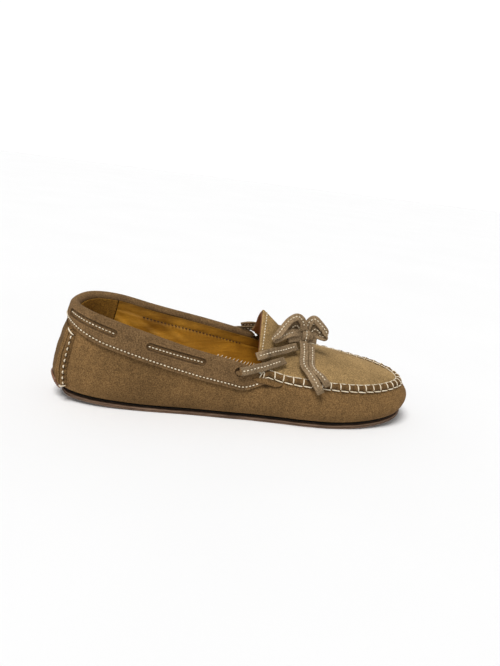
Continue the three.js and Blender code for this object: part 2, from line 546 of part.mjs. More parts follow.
// ---------------------------------------------------------------- the free lace
// Each route is a list of points, with the direction that the strip's face looks at each.
const OUTWARD = [0, -1, 0.5];
const INWARD = [0, 1, 0.6];
const ROUTES = {
  strap_lower_lateral: [
    [[107, -39.6, 35.8], OUTWARD], [[112, -39.6, 37], OUTWARD], [[117.5, -38.2, 38.4], [0, -1, 0.4]],
    [[123.5, -36, 39.4], [0, -0.98, 0.4]], [[130.5, -32.6, 40.8], [0, -0.9, 0.55]],
    [[138.5, -28.2, 42.2], [0, -0.8, 0.7]],
  ],
  strap_upper_lateral: [
    [[118.5, -30.5, 44], [-0.5, -0.8, 0.4]], [[124.5, -29.4, 45.8], [-0.2, -0.95, 0.35]],
    [[131.5, -25.8, 47], [0, -0.95, 0.4]], [[138.2, -21.8, 47.4], [0, -0.92, 0.45]],
    [[144.2, -18, 48.2], [0.05, -0.88, 0.5]], [[149.2, -15, 48.6], [0.1, -0.84, 0.55]],
  ],
  strap_lower_medial: [
    [[107.5, 38.4, 42.6], INWARD], [[114, 37.8, 43.8], INWARD], [[120.5, 36.6, 45.2], [0, 1, 0.6]],
    [[126, 34, 47], [0, 0.8, 0.8]], [[132.5, 30, 48.2], [0, 0.7, 1]],
    [[138.5, 26.2, 48.8], [0, 0.6, 1]],
  ],
  strap_upper_medial: [
    [[117.5, 29, 50.4], [-0.6, 0.6, 0.6]], [[124, 27, 51.8], [-0.2, 0.8, 0.8]],
    [[131, 23, 52.6], [0.2, 0.6, 0.8]], [[137.5, 17.4, 53.8], [0.2, 0.5, 0.9]],
    [[143.5, 11, 55], [0.3, 0.4, 0.9]], [[149, 5, 55.2], [0.3, 0.3, 1]],
  ],
  bow_loop_rear: [
    [[154.6, -7.4, 58.8], [-0.1, -0.97, 0.2]], [[153, -8.4, 64.4], [0.2, -0.95, 0.2]],
    [[148.4, -9.8, 68.2], [-0.1, -0.75, 0.65]], [[142.6, -12.2, 66], [-0.45, -0.65, 0.6]],
    [[138.2, -14.6, 61], [-0.6, -0.6, 0.5]], [[134.6, -17, 56.8], [-0.65, -0.6, 0.45]],
    [[131, -18.8, 53.8], [-0.98, -0.1, -0.1]], [[134, -17.4, 53.8], [-0.2, 0.85, -0.5]],
    [[139.6, -14.8, 56.2], [0.1, 0.9, -0.4]], [[145.2, -12, 57.4], [0.15, 0.9, -0.4]],
    [[149.8, -9.4, 57], [0.2, 0.88, -0.4]],
  ],
  bow_loop_front: [
    [[158.6, -4, 58.8], [-1, -0.1, 0.1]], [[158.6, -4.8, 63.8], [-0.6, -0.75, 0.3]],
    [[161.8, -5.6, 66.6], [0.1, -0.85, 0.5]], [[166.4, -6.4, 63.2], [0.4, -0.86, 0.35]],
    [[170.6, -7.4, 58.6], [0.5, -0.85, 0.2]], [[171.8, -7.4, 55], [0.9, 0.1, -0.4]],
    [[168, -6, 55], [0.2, 0.88, -0.4]], [[163.4, -5, 56.4], [0.1, 0.9, -0.4]],
  ],
  lace_end_lateral: [
    [[154.4, -11.4, 51.6], [0, -0.8, 0.8]], [[154, -16.4, 48.6], [0, -0.75, 0.8]],
    [[153.2, -21.8, 45.4], [-0.1, -0.65, 0.85]], [[151.8, -27, 42.8], [-0.15, -0.6, 0.9]],
    [[151.4, -32.4, 40.4], [0, -0.6, 0.9]], [[154, -38.4, 37.2], [0.1, -0.75, 0.8]],
    [[157.6, -43.4, 32.4], [0.1, -0.9, 0.6]], [[161, -46.8, 26.6], [0.1, -1, 0.35]],
  ],
  lace_end_medial: [
    [[161, -10, 49.2], [0.4, -0.7, 0.65]], [[160.4, -14.8, 45.8], [0.5, -0.6, 0.6]],
    [[159.3, -20.8, 42.4], [0.5, -0.5, 0.7]], [[158, -26.8, 40], [0.4, -0.5, 0.75]],
    [[158.8, -32.4, 38], [0.4, -0.55, 0.75]], [[162.4, -38.2, 35.6], [0.4, -0.7, 0.65]],
    [[166.4, -43, 30.8], [0.35, -0.9, 0.45]],
  ],
};
const KNOT = { centre: [156.4, -5, 54], radii: [5.4, 5, 4.2] };

function addFreeLace() {
  for (const [name, route] of Object.entries(ROUTES)) {
    add(name, strip(route), COLOURS.lace, 0.95, freeLace);
  }
  const knot = new THREE.SphereGeometry(1, 10, 7);
  knot.scale(...KNOT.radii);
  knot.translate(...KNOT.centre);
  add('lace_knot', welded(knot), COLOURS.lace, 0.95, freeLace);
}

addSole();
addWall();
addLinings();
addApron();
addTongue();
addCollar();
addPadding();
addCollarLace();
addHeel();
addFreeLace();

// The origin is under the middle of the shoe, where it stands.
const box = new THREE.Box3().setFromObject(upright);
const middle = box.getCenter(new THREE.Vector3());
moccasin.position.set(-middle.x, -middle.y, -box.min.z);

export default moccasin;
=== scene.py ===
"""A suede driving moccasin for the right foot: the looks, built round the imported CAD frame.

The shoe's own millimetres are used throughout: +X from heel to toe, -Y the outer (lateral) side, +Z up.
piece() turns them into the frame's metres. The upper is one surface: stations run round the foot, and
each station is a curve from the sole's edge up to the rim, or to the seam that joins wall and apron.
"""

import math

import bmesh
import bpy
import numpy as np
from mathutils import Matrix, Vector


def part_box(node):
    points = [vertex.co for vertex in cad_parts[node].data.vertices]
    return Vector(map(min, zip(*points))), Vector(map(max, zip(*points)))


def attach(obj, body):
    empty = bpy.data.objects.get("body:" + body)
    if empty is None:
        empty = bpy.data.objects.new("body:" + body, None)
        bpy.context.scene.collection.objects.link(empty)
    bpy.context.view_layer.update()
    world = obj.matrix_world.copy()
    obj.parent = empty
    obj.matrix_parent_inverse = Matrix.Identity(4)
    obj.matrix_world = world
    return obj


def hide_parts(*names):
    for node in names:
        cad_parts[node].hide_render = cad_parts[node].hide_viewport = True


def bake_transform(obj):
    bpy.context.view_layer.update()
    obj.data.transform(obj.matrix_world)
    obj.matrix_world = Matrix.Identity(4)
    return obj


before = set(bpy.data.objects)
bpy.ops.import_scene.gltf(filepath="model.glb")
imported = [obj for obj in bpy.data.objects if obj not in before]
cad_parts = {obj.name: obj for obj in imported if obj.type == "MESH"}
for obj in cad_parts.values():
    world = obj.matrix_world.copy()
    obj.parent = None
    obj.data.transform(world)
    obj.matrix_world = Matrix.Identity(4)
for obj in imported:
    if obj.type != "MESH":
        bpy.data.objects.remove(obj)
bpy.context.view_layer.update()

# ---------------------------------------------------------------- driving dimensions, millimetres
MM = 0.001
SUEDE = 1.6                 # thickness of the wall and the apron
LINING = 0.8
LINING_DEPTH = 3.9          # the lining's outer face, in from the wall's face
OUTSOLE = 2.3
MIDSOLE = 1.5
GAP = 0.3
UPPER_BASE = OUTSOLE + MIDSOLE + 2 * GAP
TOE_SPRING, TOE_SPRING_START, TOE_SPRING_RUN = 5.5, 168, 67
HEEL_LIFT, HEEL_LIFT_START = 3, 65
LACE_WIDTH, LACE_THICKNESS = 5.6, 1.5
HAND_THREAD = 0.44          # radius of the thick thread round the apron
COLLAR_HEIGHT = 3.0         # the collar's outer face over the wall
COLLAR_SKIN = 1.0
ROLL_CENTRE = -0.4
ROLL_RADIUS = COLLAR_HEIGHT - ROLL_CENTRE
COLLAR_INSIDE = 0.3
SEAM_PITCH = 6.6            # between the hand stitches round the apron

# The machine-sewn rows: the stitches' pitch, the share of it that each fills, the thread's radius and
# how far each stitch rises in its middle.
TONGUE_SEWING = (2.3, 0.52, 0.38, 0.3)
COLLAR_SEWING = (2.4, 0.5, 0.42, 0.3)
HIDDEN_LACE_SEWING = (2.3, 0.56, 0.38, 0.3)
LACE_SEWING = (2.4, 0.52, 0.38, 0.3)
CURL_SEWING = (2.0, 0.6, 0.36, 0.3)
KNOT_SEWING = (2.4, 0.66, 0.34, 0.3)
LINING_SEWING = (2.6, 0.55, 0.36, 0.35)
HEEL_SEWING = (4, 0.44, HAND_THREAD, 0.4)

# Each station: sole edge x, y; rim or seam x, y, z; then how the curve between them bulges:
# low handle out and up from the sole, high handle out and down from the rim.
STATIONS = [
    [-5.5, 0, -0.5, 0, 66, 13, 8, 4, 22],
    [-0.5, -14, 8, -19.5, 64.5, 12, 9, 4.5, 20],
    [16, -22.5, 29, -28, 59.5, 11, 10, 3, 16],
    [44, -26.8, 54, -31.5, 53, 8, 11, 2, 14],
    [74, -28.5, 82, -32.5, 45.8, 8, 11, 2, 12],
    [101, -31.5, 105, -32.5, 40.7, 8, 11, 3, 11],
    [117, -33, 118.5, -32.3, 36.8, 8.5, 10, 4, 10],
    [127, -34.5, 128, -35, 34.8, 9, 9, 4, 9],
    [139, -36.5, 139.5, -37, 32.4, 9, 8, 5, 8],
    [155, -39.5, 157, -38, 30.8, 9, 8, 5, 8],
    [176, -41, 180, -36.5, 29, 8, 8, 5, 7],
    [199, -38, 203, -31, 28, 8, 8, 5, 7],
    [220.5, -29, 222, -19.5, 28, 8, 9, 7, 7],
    [233.5, -13, 231.8, -5, 27.5, 5, 10, 8, 7],
    [234, 5.5, 231.3, 11.5, 28.5, 5, 10, 8, 7],
    [224, 22, 221, 23.5, 30.5, 7.5, 9, 7, 7],
    [204, 31, 202, 30.5, 33, 8, 8, 5, 8],
    [183, 36, 180, 33.5, 36.5, 8, 8, 5, 9],
    [160, 35, 157, 33.5, 40, 8, 9, 4, 10],
    [142, 31, 140, 32.5, 42.8, 9, 10, 4, 11],
    [128, 27.5, 127, 31, 45.2, 10, 11, 3, 12],
    [104, 23.5, 105, 29, 50, 10, 11, 3, 13],
    [76, 22, 82, 28.2, 54.8, 11, 12, 2, 14],
    [46, 23, 54, 28, 60, 10, 12, 2, 15],
    [18, 23, 28, 26.5, 66, 10, 11, 3, 18],
    [0, 14.5, 8.5, 19.5, 67.5, 12, 9, 4.5, 20],
]
COUNT = len(STATIONS)
COLLAR_START, COLLAR_END = 20.0, COUNT + 6.7
SEAM_START, SEAM_END = 6.8, 19.8
RIDGE_START = 6.3           # the sewn ridge starts under the collar's tip
TOE = 13.3

# The line over the middle of the instep and the apron, from the tongue's tip to the toe.
RIDGE_LINE = [
    [126, 0, 69.5], [143, 0, 55.5], [161, -0.5, 44.5], [178, -1, 40],
    [193.5, -1, 37.5], [208.5, -0.5, 34.5], [222, 1, 31.2], [233.5, 3, 28],
]
TONGUE_TIP = -0.12
HINGE = 0.002               # where tongue and apron meet, as a share of the apron's length
TONGUE_MARGIN = 5

# The collar's windows and the slits the lace comes out of, in stations from the middle of the heel.
WINDOWS = [(0.42, 2.0), (2.74, 4.12)]
WINDOW_HALF = 2.4
SLIT = 4.97
SLITS = [(SLIT, SLIT + 0.34), (-SLIT - 0.2, -SLIT + 0.1)]
STITCH_INSET = 2.4          # of the collar's stitch row from its lower edge
ROW_START, ROW_END = 5, 4   # how far the row stops from the collar's inner (medial) and outer tips
RECESS = 2.0                # depth of the windows
MEDIAL_TAPER, LATERAL_TAPER = 6, 15     # how far from its tips the collar starts to close

# The free lace: points, and the direction that the strip's face looks at each.
OUTWARD = [0, -1, 0.5]
INWARD = [0, 1, 0.6]
ROUTES = {
    "strap_lower_lateral": [
        [[107, -39.6, 35.8], OUTWARD], [[112, -39.6, 37], OUTWARD],
        [[117.5, -38.2, 38.4], [0, -1, 0.4]], [[123.5, -36, 39.4], [0, -0.98, 0.4]],
        [[130.5, -32.6, 40.8], [0, -0.9, 0.55]], [[138.5, -28.2, 42.2], [0, -0.8, 0.7]],
    ],
    "strap_upper_lateral": [
        [[118.5, -30.5, 44], [-0.5, -0.8, 0.4]], [[124.5, -29.4, 45.8], [-0.2, -0.95, 0.35]],
        [[131.5, -25.8, 47], [0, -0.95, 0.4]], [[138.2, -21.8, 47.4], [0, -0.92, 0.45]],
        [[144.2, -18, 48.2], [0.05, -0.88, 0.5]], [[149.2, -15, 48.6], [0.1, -0.84, 0.55]],
    ],
    "strap_lower_medial": [
        [[107.5, 38.4, 42.6], INWARD], [[114, 37.8, 43.8], INWARD], [[120.5, 36.6, 45.2], [0, 1, 0.6]],
        [[126, 34, 47], [0, 0.8, 0.8]], [[132.5, 30, 48.2], [0, 0.7, 1]],
        [[138.5, 26.2, 48.8], [0, 0.6, 1]],
    ],
    "strap_upper_medial": [
        [[117.5, 29, 50.4], [-0.6, 0.6, 0.6]], [[124, 27, 51.8], [-0.2, 0.8, 0.8]],
        [[131, 23, 52.6], [0.2, 0.6, 0.8]], [[137.5, 17.4, 53.8], [0.2, 0.5, 0.9]],
        [[143.5, 11, 55], [0.3, 0.4, 0.9]], [[149, 5, 55.2], [0.3, 0.3, 1]],
    ],
    "bow_loop_rear": [
        [[154.6, -7.4, 58.8], [-0.1, -0.97, 0.2]], [[153, -8.4, 64.4], [0.2, -0.95, 0.2]],
        [[148.4, -9.8, 68.2], [-0.1, -0.75, 0.65]], [[142.6, -12.2, 66], [-0.45, -0.65, 0.6]],
        [[138.2, -14.6, 61], [-0.6, -0.6, 0.5]], [[134.6, -17, 56.8], [-0.65, -0.6, 0.45]],
        [[131, -18.8, 53.8], [-0.98, -0.1, -0.1]], [[134, -17.4, 53.8], [-0.2, 0.85, -0.5]],
        [[139.6, -14.8, 56.2], [0.1, 0.9, -0.4]], [[145.2, -12, 57.4], [0.15, 0.9, -0.4]],
        [[149.8, -9.4, 57], [0.2, 0.88, -0.4]],
    ],
    "bow_loop_front": [
        [[158.6, -4, 58.8], [-1, -0.1, 0.1]], [[158.6, -4.8, 63.8], [-0.6, -0.75, 0.3]],
        [[161.8, -5.6, 66.6], [0.1, -0.85, 0.5]], [[166.4, -6.4, 63.2], [0.4, -0.86, 0.35]],
        [[170.6, -7.4, 58.6], [0.5, -0.85, 0.2]], [[171.8, -7.4, 55], [0.9, 0.1, -0.4]],
        [[168, -6, 55], [0.2, 0.88, -0.4]], [[163.4, -5, 56.4], [0.1, 0.9, -0.4]],
    ],
    "lace_end_lateral": [
        [[154.4, -11.4, 51.6], [0, -0.8, 0.8]], [[154, -16.4, 48.6], [0, -0.75, 0.8]],
        [[153.2, -21.8, 45.4], [-0.1, -0.65, 0.85]], [[151.8, -27, 42.8], [-0.15, -0.6, 0.9]],
        [[151.4, -32.4, 40.4], [0, -0.6, 0.9]], [[154, -38.4, 37.2], [0.1, -0.75, 0.8]],
        [[157.6, -43.4, 32.4], [0.1, -0.9, 0.6]], [[161, -46.8, 26.6], [0.1, -1, 0.35]],
    ],
    "lace_end_medial": [
        [[161, -10, 49.2], [0.4, -0.7, 0.65]], [[160.4, -14.8, 45.8], [0.5, -0.6, 0.6]],
        [[159.3, -20.8, 42.4], [0.5, -0.5, 0.7]], [[158, -26.8, 40], [0.4, -0.5, 0.75]],
        [[158.8, -32.4, 38], [0.4, -0.55, 0.75]], [[162.4, -38.2, 35.6], [0.4, -0.7, 0.65]],
        [[166.4, -43, 30.8], [0.35, -0.9, 0.45]],
    ],
}
KNOT_CENTRE = np.array([156.4, -5, 54])
KNOT_RADII = (5 * 0.92, 4.2 * 0.92)     # of the knot's turn of lace, across the shoe and upwards
# Each free stretch: body it rides on, what its far end is, how it lies.
FREE_LACE = {
    "strap_lower_lateral": ("shoe", "object", "taut"),
    "strap_upper_lateral": ("shoe", "knot", "taut"),
    "strap_lower_medial": ("shoe", "object", "taut"),
    "strap_upper_medial": ("shoe", "knot", "taut"),
    "bow_loop_rear": ("loop_rear", "knot", "loose"),
    "bow_loop_front": ("loop_front", "knot", "loose"),
    "lace_end_lateral": ("end_lateral", "bare", "hanging"),
    "lace_end_medial": ("end_medial", "bare", "hanging"),
}


# ---------------------------------------------------------------- small maths
def unit(v):
    return v / np.maximum(np.linalg.norm(v, axis=-1, keepdims=True), 1e-9)


def mix(a, b, t):
    return a + (b - a) * t


def smooth(low, high, x):
    t = np.clip((np.asarray(x, float) - low) / (high - low), 0, 1)
    return t * t * (3 - 2 * t)


def bell(x, width):
    """1 where x is 0, falling away to 0 on both sides over about twice the width."""
    return np.exp(-(x / width)**2)


def ring_angles(count):
    return np.linspace(0, 2 * math.pi, count, endpoint=False)


def signed_power(x, power):
    return np.sign(x) * np.abs(x)**power


def waves(a, b, seed, count=5):
    """A gentle random surface over two coordinates, about -1 to 1, the same at every run."""
    rng = np.random.default_rng(seed)
    total = 0
    for _ in range(count):
        turn = rng.uniform(0, 2 * math.pi)
        rate = rng.uniform(0.6, 1.7)
        phase = rng.uniform(0, 2 * math.pi)
        total = total + np.sin(rate * (a * math.cos(turn) + b * math.sin(turn)) + phase)
    return total / count * 1.6


def catmull_rom(before, start, end, after, t):
    leave = (end - before) / 2
    arrive = (after - start) / 2
    return ((2 * t**3 - 3 * t**2 + 1) * start + (t**3 - 2 * t**2 + t) * leave
            + (3 * t**2 - 2 * t**3) * end + (t**3 - t**2) * arrive)


def closed_curve(rows):
    points = np.array(rows, float)

    def curve(s):
        s = np.asarray(s, float)
        i = np.floor(s).astype(int)
        four = [points[(i + k) % len(points)] for k in (-1, 0, 1, 2)]
        return catmull_rom(*four, (s - i)[..., None])
    return curve


def open_curve(rows):
    """A curve through the rows, for u from 0 to 1."""
    points = np.array(rows, float)
    points = np.vstack([2 * points[0] - points[1], points, 2 * points[-1] - points[-2]])
    spans = len(rows) - 1

    def curve(u):
        x = np.clip(np.asarray(u, float), 0, 1) * spans
        i = np.minimum(np.floor(x).astype(int), spans - 1)
        four = [points[i + k] for k in range(4)]
        return catmull_rom(*four, (x - i)[..., None])
    return curve


def arc_lengths(points):
    return np.concatenate([[0], np.cumsum(np.linalg.norm(np.diff(points, axis=0), axis=1))])


def along_path(path, arcs, where):
    return np.stack([np.interp(where, arcs, path[:, i]) for i in range(3)], -1)


# ---------------------------------------------------------------- the upper's surface
foot_curve = closed_curve([[r[0], r[1], 0] for r in STATIONS])
top_curve = closed_curve([[r[2], r[3], r[4]] for r in STATIONS])
low_handle = closed_curve([[r[5], r[6]] for r in STATIONS])
high_handle = closed_curve([[r[7], r[8]] for r in STATIONS])
ridge_curve = open_curve(RIDGE_LINE)


def level_out(along):
    """Level, and square to a direction that runs round the shoe: out of it."""
    return unit(np.stack([along[..., 1], -along[..., 0], np.zeros_like(along[..., 0])], -1))


def spring(x):
    """How far the sole curves up from the ground, towards the toe and the heel."""
    toe = np.maximum(x - TOE_SPRING_START, 0) / TOE_SPRING_RUN
    heel = np.maximum(HEEL_LIFT_START - x, 0) / HEEL_LIFT_START
    return TOE_SPRING * toe * toe + HEEL_LIFT * heel * heel


def station(s):
    """The four points of a station's curve from the sole's edge to the rim."""
    foot = foot_curve(s)
    foot[..., 2] = spring(foot[..., 0]) + UPPER_BASE
    top = top_curve(s)
    along = foot_curve(s + 0.01) - foot_curve(s - 0.01) + top_curve(s + 0.01) - top_curve(s - 0.01)
    out = level_out(along)
    up = np.array([0, 0, 1.0])
    low, high = low_handle(s), high_handle(s)
    foot_side = foot + out * low[..., :1] + up * low[..., 1:]
    top_side = top + out * high[..., :1] - up * high[..., 1:]
    return foot, foot_side, top_side, top


def wall_centre(s, v):
    s, v = np.broadcast_arrays(np.asarray(s, float), np.asarray(v, float))
    a, b, c, d = station(s)
    v = v[..., None]
    return (1 - v)**3 * a + 3 * v * (1 - v)**2 * b + 3 * v * v * (1 - v) * c + v**3 * d


def wall_normal(s, v):
    step = 0.01
    around = wall_centre(s + step, v) - wall_centre(s - step, v)
    upward = wall_centre(s, np.minimum(v + step, 1)) - wall_centre(s, np.maximum(v - step, 0))
    return unit(np.cross(around, upward))


def wall_point(s, v, height=0.0):
    s, v, height = np.broadcast_arrays(np.asarray(s, float), np.asarray(v, float), height)
    return wall_centre(s, v) + wall_normal(s, v) * height[..., None]


def below(s, drop):
    """The share v of the wall's height that lies a distance down the wall from the rim.
    s is a list of stations and drop has a row for each."""
    s = np.asarray(s, float).reshape(-1)
    drop = np.broadcast_to(np.asarray(drop, float), (len(s), np.shape(drop)[-1] if np.ndim(drop) else 1))
    v = np.linspace(0, 1, 49)
    curves = wall_centre(s[:, None], v[None, :])
    found = np.empty(drop.shape)
    for row, curve in enumerate(curves):
        arcs = arc_lengths(curve)
        found[row] = np.interp(arcs[-1] - drop[row], arcs, v)
    return found


def wall_row(s, drop, height):
    """Points and normals along a row on the wall: one drop and height for each station."""
    s = np.asarray(s, float)
    v = below(s, np.broadcast_to(drop, s.shape)[:, None])[:, 0]
    return wall_point(s, v, height), wall_normal(s, v)


def rim_frame(s):
    s = np.asarray(s, float)
    _, _, top_side, top = station(s)
    upward = unit(top - top_side)
    around = unit(top_curve(s + 0.01) - top_curve(s - 0.01))
    return top, unit(np.cross(around, upward)), upward, around


def rim_point(s, out, up):
    """A point near the rim: a distance out of the wall, and a distance up along it."""
    top, outward, upward, _ = rim_frame(s)
    return top + outward * np.asarray(out, float)[..., None] + upward * np.asarray(up, float)[..., None]


def apron_centre(k, t):
    k, t = np.broadcast_arrays(np.asarray(k, float), np.asarray(t, float))
    outer = top_curve(mix(SEAM_START, TOE, k))
    inner = top_curve(mix(SEAM_END, TOE, k))
    ridge = ridge_curve((k - TONGUE_TIP) / (1 - TONGUE_TIP))
    base = mix(outer, inner, (1 + t[..., None]) / 2)
    power = mix(1.1, 2.2, smooth(0, 0.4, k))
    share = 1 - np.abs(t)**power
    return base + (ridge - (outer + inner) / 2) * share[..., None]


def apron_normal(k, t):
    step = 0.01
    forward = apron_centre(k + step, t) - apron_centre(k - step, t)
    across = apron_centre(k, t + step) - apron_centre(k, t - step)
    return unit(np.cross(forward, across))


def apron_point(k, t, height=0.0):
    k, t, height = np.broadcast_arrays(np.asarray(k, float), np.asarray(t, float), height)
    return apron_centre(k, t) + apron_normal(k, t) * height[..., None]


# How far the collar's lower edge and its lace run below the rim, at the heel's middle and at the sides;
# how much they rise from there to the front; and how much the edge closes on the rim between two x.
COLLAR_HEEL_DROP, COLLAR_SIDE_DROP, COLLAR_RISE = 12.4, 18.4, 0.8
COLLAR_TIP_RISE, COLLAR_TIP_START, COLLAR_TIP_END = 8.6, 108, 130
LACE_HEEL_DROP, LACE_SIDE_DROP, LACE_RISE = 6.2, 7.9, 1.6


def from_heel(s):
    """How many stations lie between a station and the middle of the heel."""
    return np.minimum(np.abs(s - COUNT), np.abs(s))


def collar_drop(s):
    side = mix(COLLAR_HEEL_DROP, COLLAR_SIDE_DROP, smooth(0, 1.9, from_heel(s)))
    tip = smooth(COLLAR_TIP_START, COLLAR_TIP_END, top_curve(s)[..., 0])
    return side - COLLAR_RISE * smooth(3, 5.2, from_heel(s)) - COLLAR_TIP_RISE * tip


def lace_drop(s):
    side = mix(LACE_HEEL_DROP, LACE_SIDE_DROP, smooth(0.2, 2, from_heel(s)))
    return side - LACE_RISE * smooth(2.7, 4.5, from_heel(s))


def sole_outline(s, inset=0.0):
    edge = foot_curve(s)
    along = foot_curve(s + 0.01) - foot_curve(s - 0.01)
    return edge - level_out(along) * np.asarray(inset, float)[..., None]


def shoe_origin():
    """The frame's origin in the shoe's millimetres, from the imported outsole's box."""
    u = np.linspace(0.02, 0.98, 21)
    outline = foot_curve(np.concatenate([TOE * u, mix(COUNT, TOE, u)]))
    low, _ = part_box("outsole")
    return np.array([outline[:, 0].min() - low.x / MM, outline[:, 1].min() - low.y / MM, 0])


ORIGIN = shoe_origin()


# ---------------------------------------------------------------- meshes
def to_frame(points):
    return (np.asarray(points, float) - ORIGIN) * MM


def quads(index):
    return np.stack([index[:-1, :-1], index[1:, :-1], index[1:, 1:], index[:-1, 1:]], -1).reshape(-1, 4)


def sheet(outer, inner, closed=False):
    """A solid sheet between two matching grids of points, whose rows may close on themselves."""
    rows, columns = outer.shape[:2]
    over = np.arange(rows * columns).reshape(rows, columns)
    if closed:
        over = np.vstack([over, over[:1]])
    under = over + rows * columns
    faces = [quads(over), quads(under)[:, ::-1]]
    faces.append(quads(np.stack([under[:, 0], over[:, 0]], 1)))
    faces.append(quads(np.stack([over[:, -1], under[:, -1]], 1)))
    if not closed:
        faces.append(quads(np.stack([over[0], under[0]], 1)))
        faces.append(quads(np.stack([under[-1], over[-1]], 1)))
    return np.concatenate([outer.reshape(-1, 3), inner.reshape(-1, 3)]), np.concatenate(faces).tolist()


def sweep(centre, across, face, section, scale=1.0):
    """A closed section carried along a path, with flat ends."""
    scale = np.broadcast_to(scale, (len(centre),))[:, None, None]
    ring = (centre[:, None] + across[:, None] * section[None, :, :1] * scale
            + face[:, None] * section[None, :, 1:] * scale)
    rows, columns = ring.shape[:2]
    index = np.arange(rows * columns).reshape(rows, columns)
    index = np.hstack([index, index[:, :1]])
    faces = quads(index).tolist()
    faces.append(index[0, :-1].tolist())
    faces.append(index[-1, :-1][::-1].tolist())
    return ring.reshape(-1, 3), faces


def ring_index(grid):
    """The vertex numbers of a grid whose last row joins on to its first."""
    index = np.arange(grid.shape[0] * grid.shape[1]).reshape(grid.shape[:2])
    return np.vstack([index, index[:1]])


def lie_flat(centre, looks):
    """A strip's path: its centre line, its width's direction and its face's, from where it looks."""
    along = unit(np.gradient(centre, axis=0))
    across = unit(np.cross(along, looks))
    return centre, across, np.cross(across, along)


def joined(parts):
    """Several meshes, each vertices and faces, as one."""
    vertices, faces, start = [], [], 0
    for points, polygons in parts:
        vertices.append(points)
        faces.extend([[i + start for i in polygon] for polygon in polygons])
        start += len(points)
    return np.concatenate(vertices), faces


SHARP = math.radians(58)        # edges bent more than this are drawn sharp


def piece(name, mesh, material, body="shoe", replaces=(), tone=0.5):
    """A new object on a body. tone lightens it over 0.5 and darkens it under: a number for each vertex, which
    carries painted light and shade as well as uneven colour. A shorter run of them repeats, as from a sheet's
    first side to its second."""
    points, faces = mesh
    data = bpy.data.meshes.new(name)
    data.from_pydata(to_frame(points).tolist(), [], faces)
    tones = np.resize(tone, len(points)).astype(np.float32)
    data.attributes.new("tone", "FLOAT", "POINT").data.foreach_set("value", tones)
    editing = bmesh.new()
    editing.from_mesh(data)
    bmesh.ops.recalc_face_normals(editing, faces=editing.faces)
    for edge in editing.edges:
        edge.smooth = edge.calc_face_angle(0) < SHARP
    editing.to_mesh(data)
    editing.free()
    data.polygons.foreach_set("use_smooth", [True] * len(data.polygons))
    data.materials.append(material)
    made = bpy.data.objects.new(name, data)
    bpy.context.scene.collection.objects.link(made)
    if body:
        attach(made, body)
    if replaces:
        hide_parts(*replaces)
    return made


def thread(points, reference, radius):
    """One stitch: a round bar along its points, narrower where it dips into the leather at its ends."""
    angle = ring_angles(7)
    section = radius * np.stack([np.cos(angle), np.sin(angle)], -1)
    u = np.linspace(-1, 1, len(points))
    return sweep(*lie_flat(points, reference), section, 1 - 0.45 * u**6)


def running_stitches(path, normals, pitch, share, radius, lift):
    """A row of separate stitches along a path: each rises out of the leather and dips in again."""
    arcs = arc_lengths(path)
    count = max(int(round(arcs[-1] / pitch)), 1)
    pitch = arcs[-1] / count
    rise = lift * np.sin(np.linspace(0, math.pi, 5))**0.6
    stitches = []
    for i in range(count):
        where = (i + 0.5 + share * np.linspace(-0.5, 0.5, 5)) * pitch
        normal = unit(along_path(normals, arcs, where))
        points = along_path(path, arcs, where) + normal * rise[:, None]
        stitches.append(thread(points, normal, radius))
    return stitches


def grid_normals(grid):
    return unit(np.cross(np.gradient(grid, axis=0), np.gradient(grid, axis=1)))


def edge_round(distance, radius):
    """From 0.15 at an edge to 1 at a radius in from it: the profile of a rounded cut edge."""
    x = np.clip(1 - np.asarray(distance, float) / radius, 0, 1)
    return np.maximum(np.sqrt(1 - x * x), 0.15)


# ---------------------------------------------------------------- materials
TONE_DARKEST, TONE_LIGHTEST = 0.25, 1.75


def new_material(name, roughness, specular, sheen=0.0, coat=0.0):
    material = bpy.data.materials.new(name)
    material.use_nodes = True
    shader = material.node_tree.nodes["Principled BSDF"]
    shader.inputs["Roughness"].default_value = roughness
    shader.inputs["Specular IOR Level"].default_value = specular
    shader.inputs["Sheen Weight"].default_value = sheen
    shader.inputs["Sheen Roughness"].default_value = 0.5
    shader.inputs["Coat Weight"].default_value = coat
    return material, material.node_tree, shader


def noise(tree, scale, detail=3.0, stretch=None, distortion=0.0):
    where = tree.nodes.new("ShaderNodeTexCoord").outputs["Object"]
    if stretch:
        mapping = tree.nodes.new("ShaderNodeMapping")
        mapping.inputs["Scale"].default_value = stretch
        tree.links.new(where, mapping.inputs["Vector"])
        where = mapping.outputs["Vector"]
    node = tree.nodes.new("ShaderNodeTexNoise")
    node.inputs["Scale"].default_value = scale
    node.inputs["Detail"].default_value = detail
    node.inputs["Distortion"].default_value = distortion
    tree.links.new(where, node.inputs["Vector"])
    return node.outputs["Fac"]


def ramp(tree, value, low, high, dark, light):
    """A colour between dark and light as the value goes from low to high."""
    node = tree.nodes.new("ShaderNodeValToRGB")
    node.color_ramp.elements[0].position = low
    node.color_ramp.elements[0].color = (*dark, 1)
    node.color_ramp.elements[1].position = high
    node.color_ramp.elements[1].color = (*light, 1)
    tree.links.new(value, node.inputs["Fac"])
    return node.outputs["Color"]


def grey_layer(tree, value, low, high, dark, light):
    return ramp(tree, value, low, high, (dark,) * 3, (light,) * 3)


def paint(tree, shader, colour, *layers):
    """The base colour: a colour multiplied by grey layers and by the mesh's tone, which carries painted light
    and shade.
    """
    for layer in (*layers, mesh_tone(tree)):
        node = tree.nodes.new("ShaderNodeMix")
        node.data_type = "RGBA"
        node.blend_type = "MULTIPLY"
        node.inputs["Factor"].default_value = 1.0
        tree.links.new(colour, node.inputs["A"])
        tree.links.new(layer, node.inputs["B"])
        colour = node.outputs["Result"]
    tree.links.new(colour, shader.inputs["Base Color"])


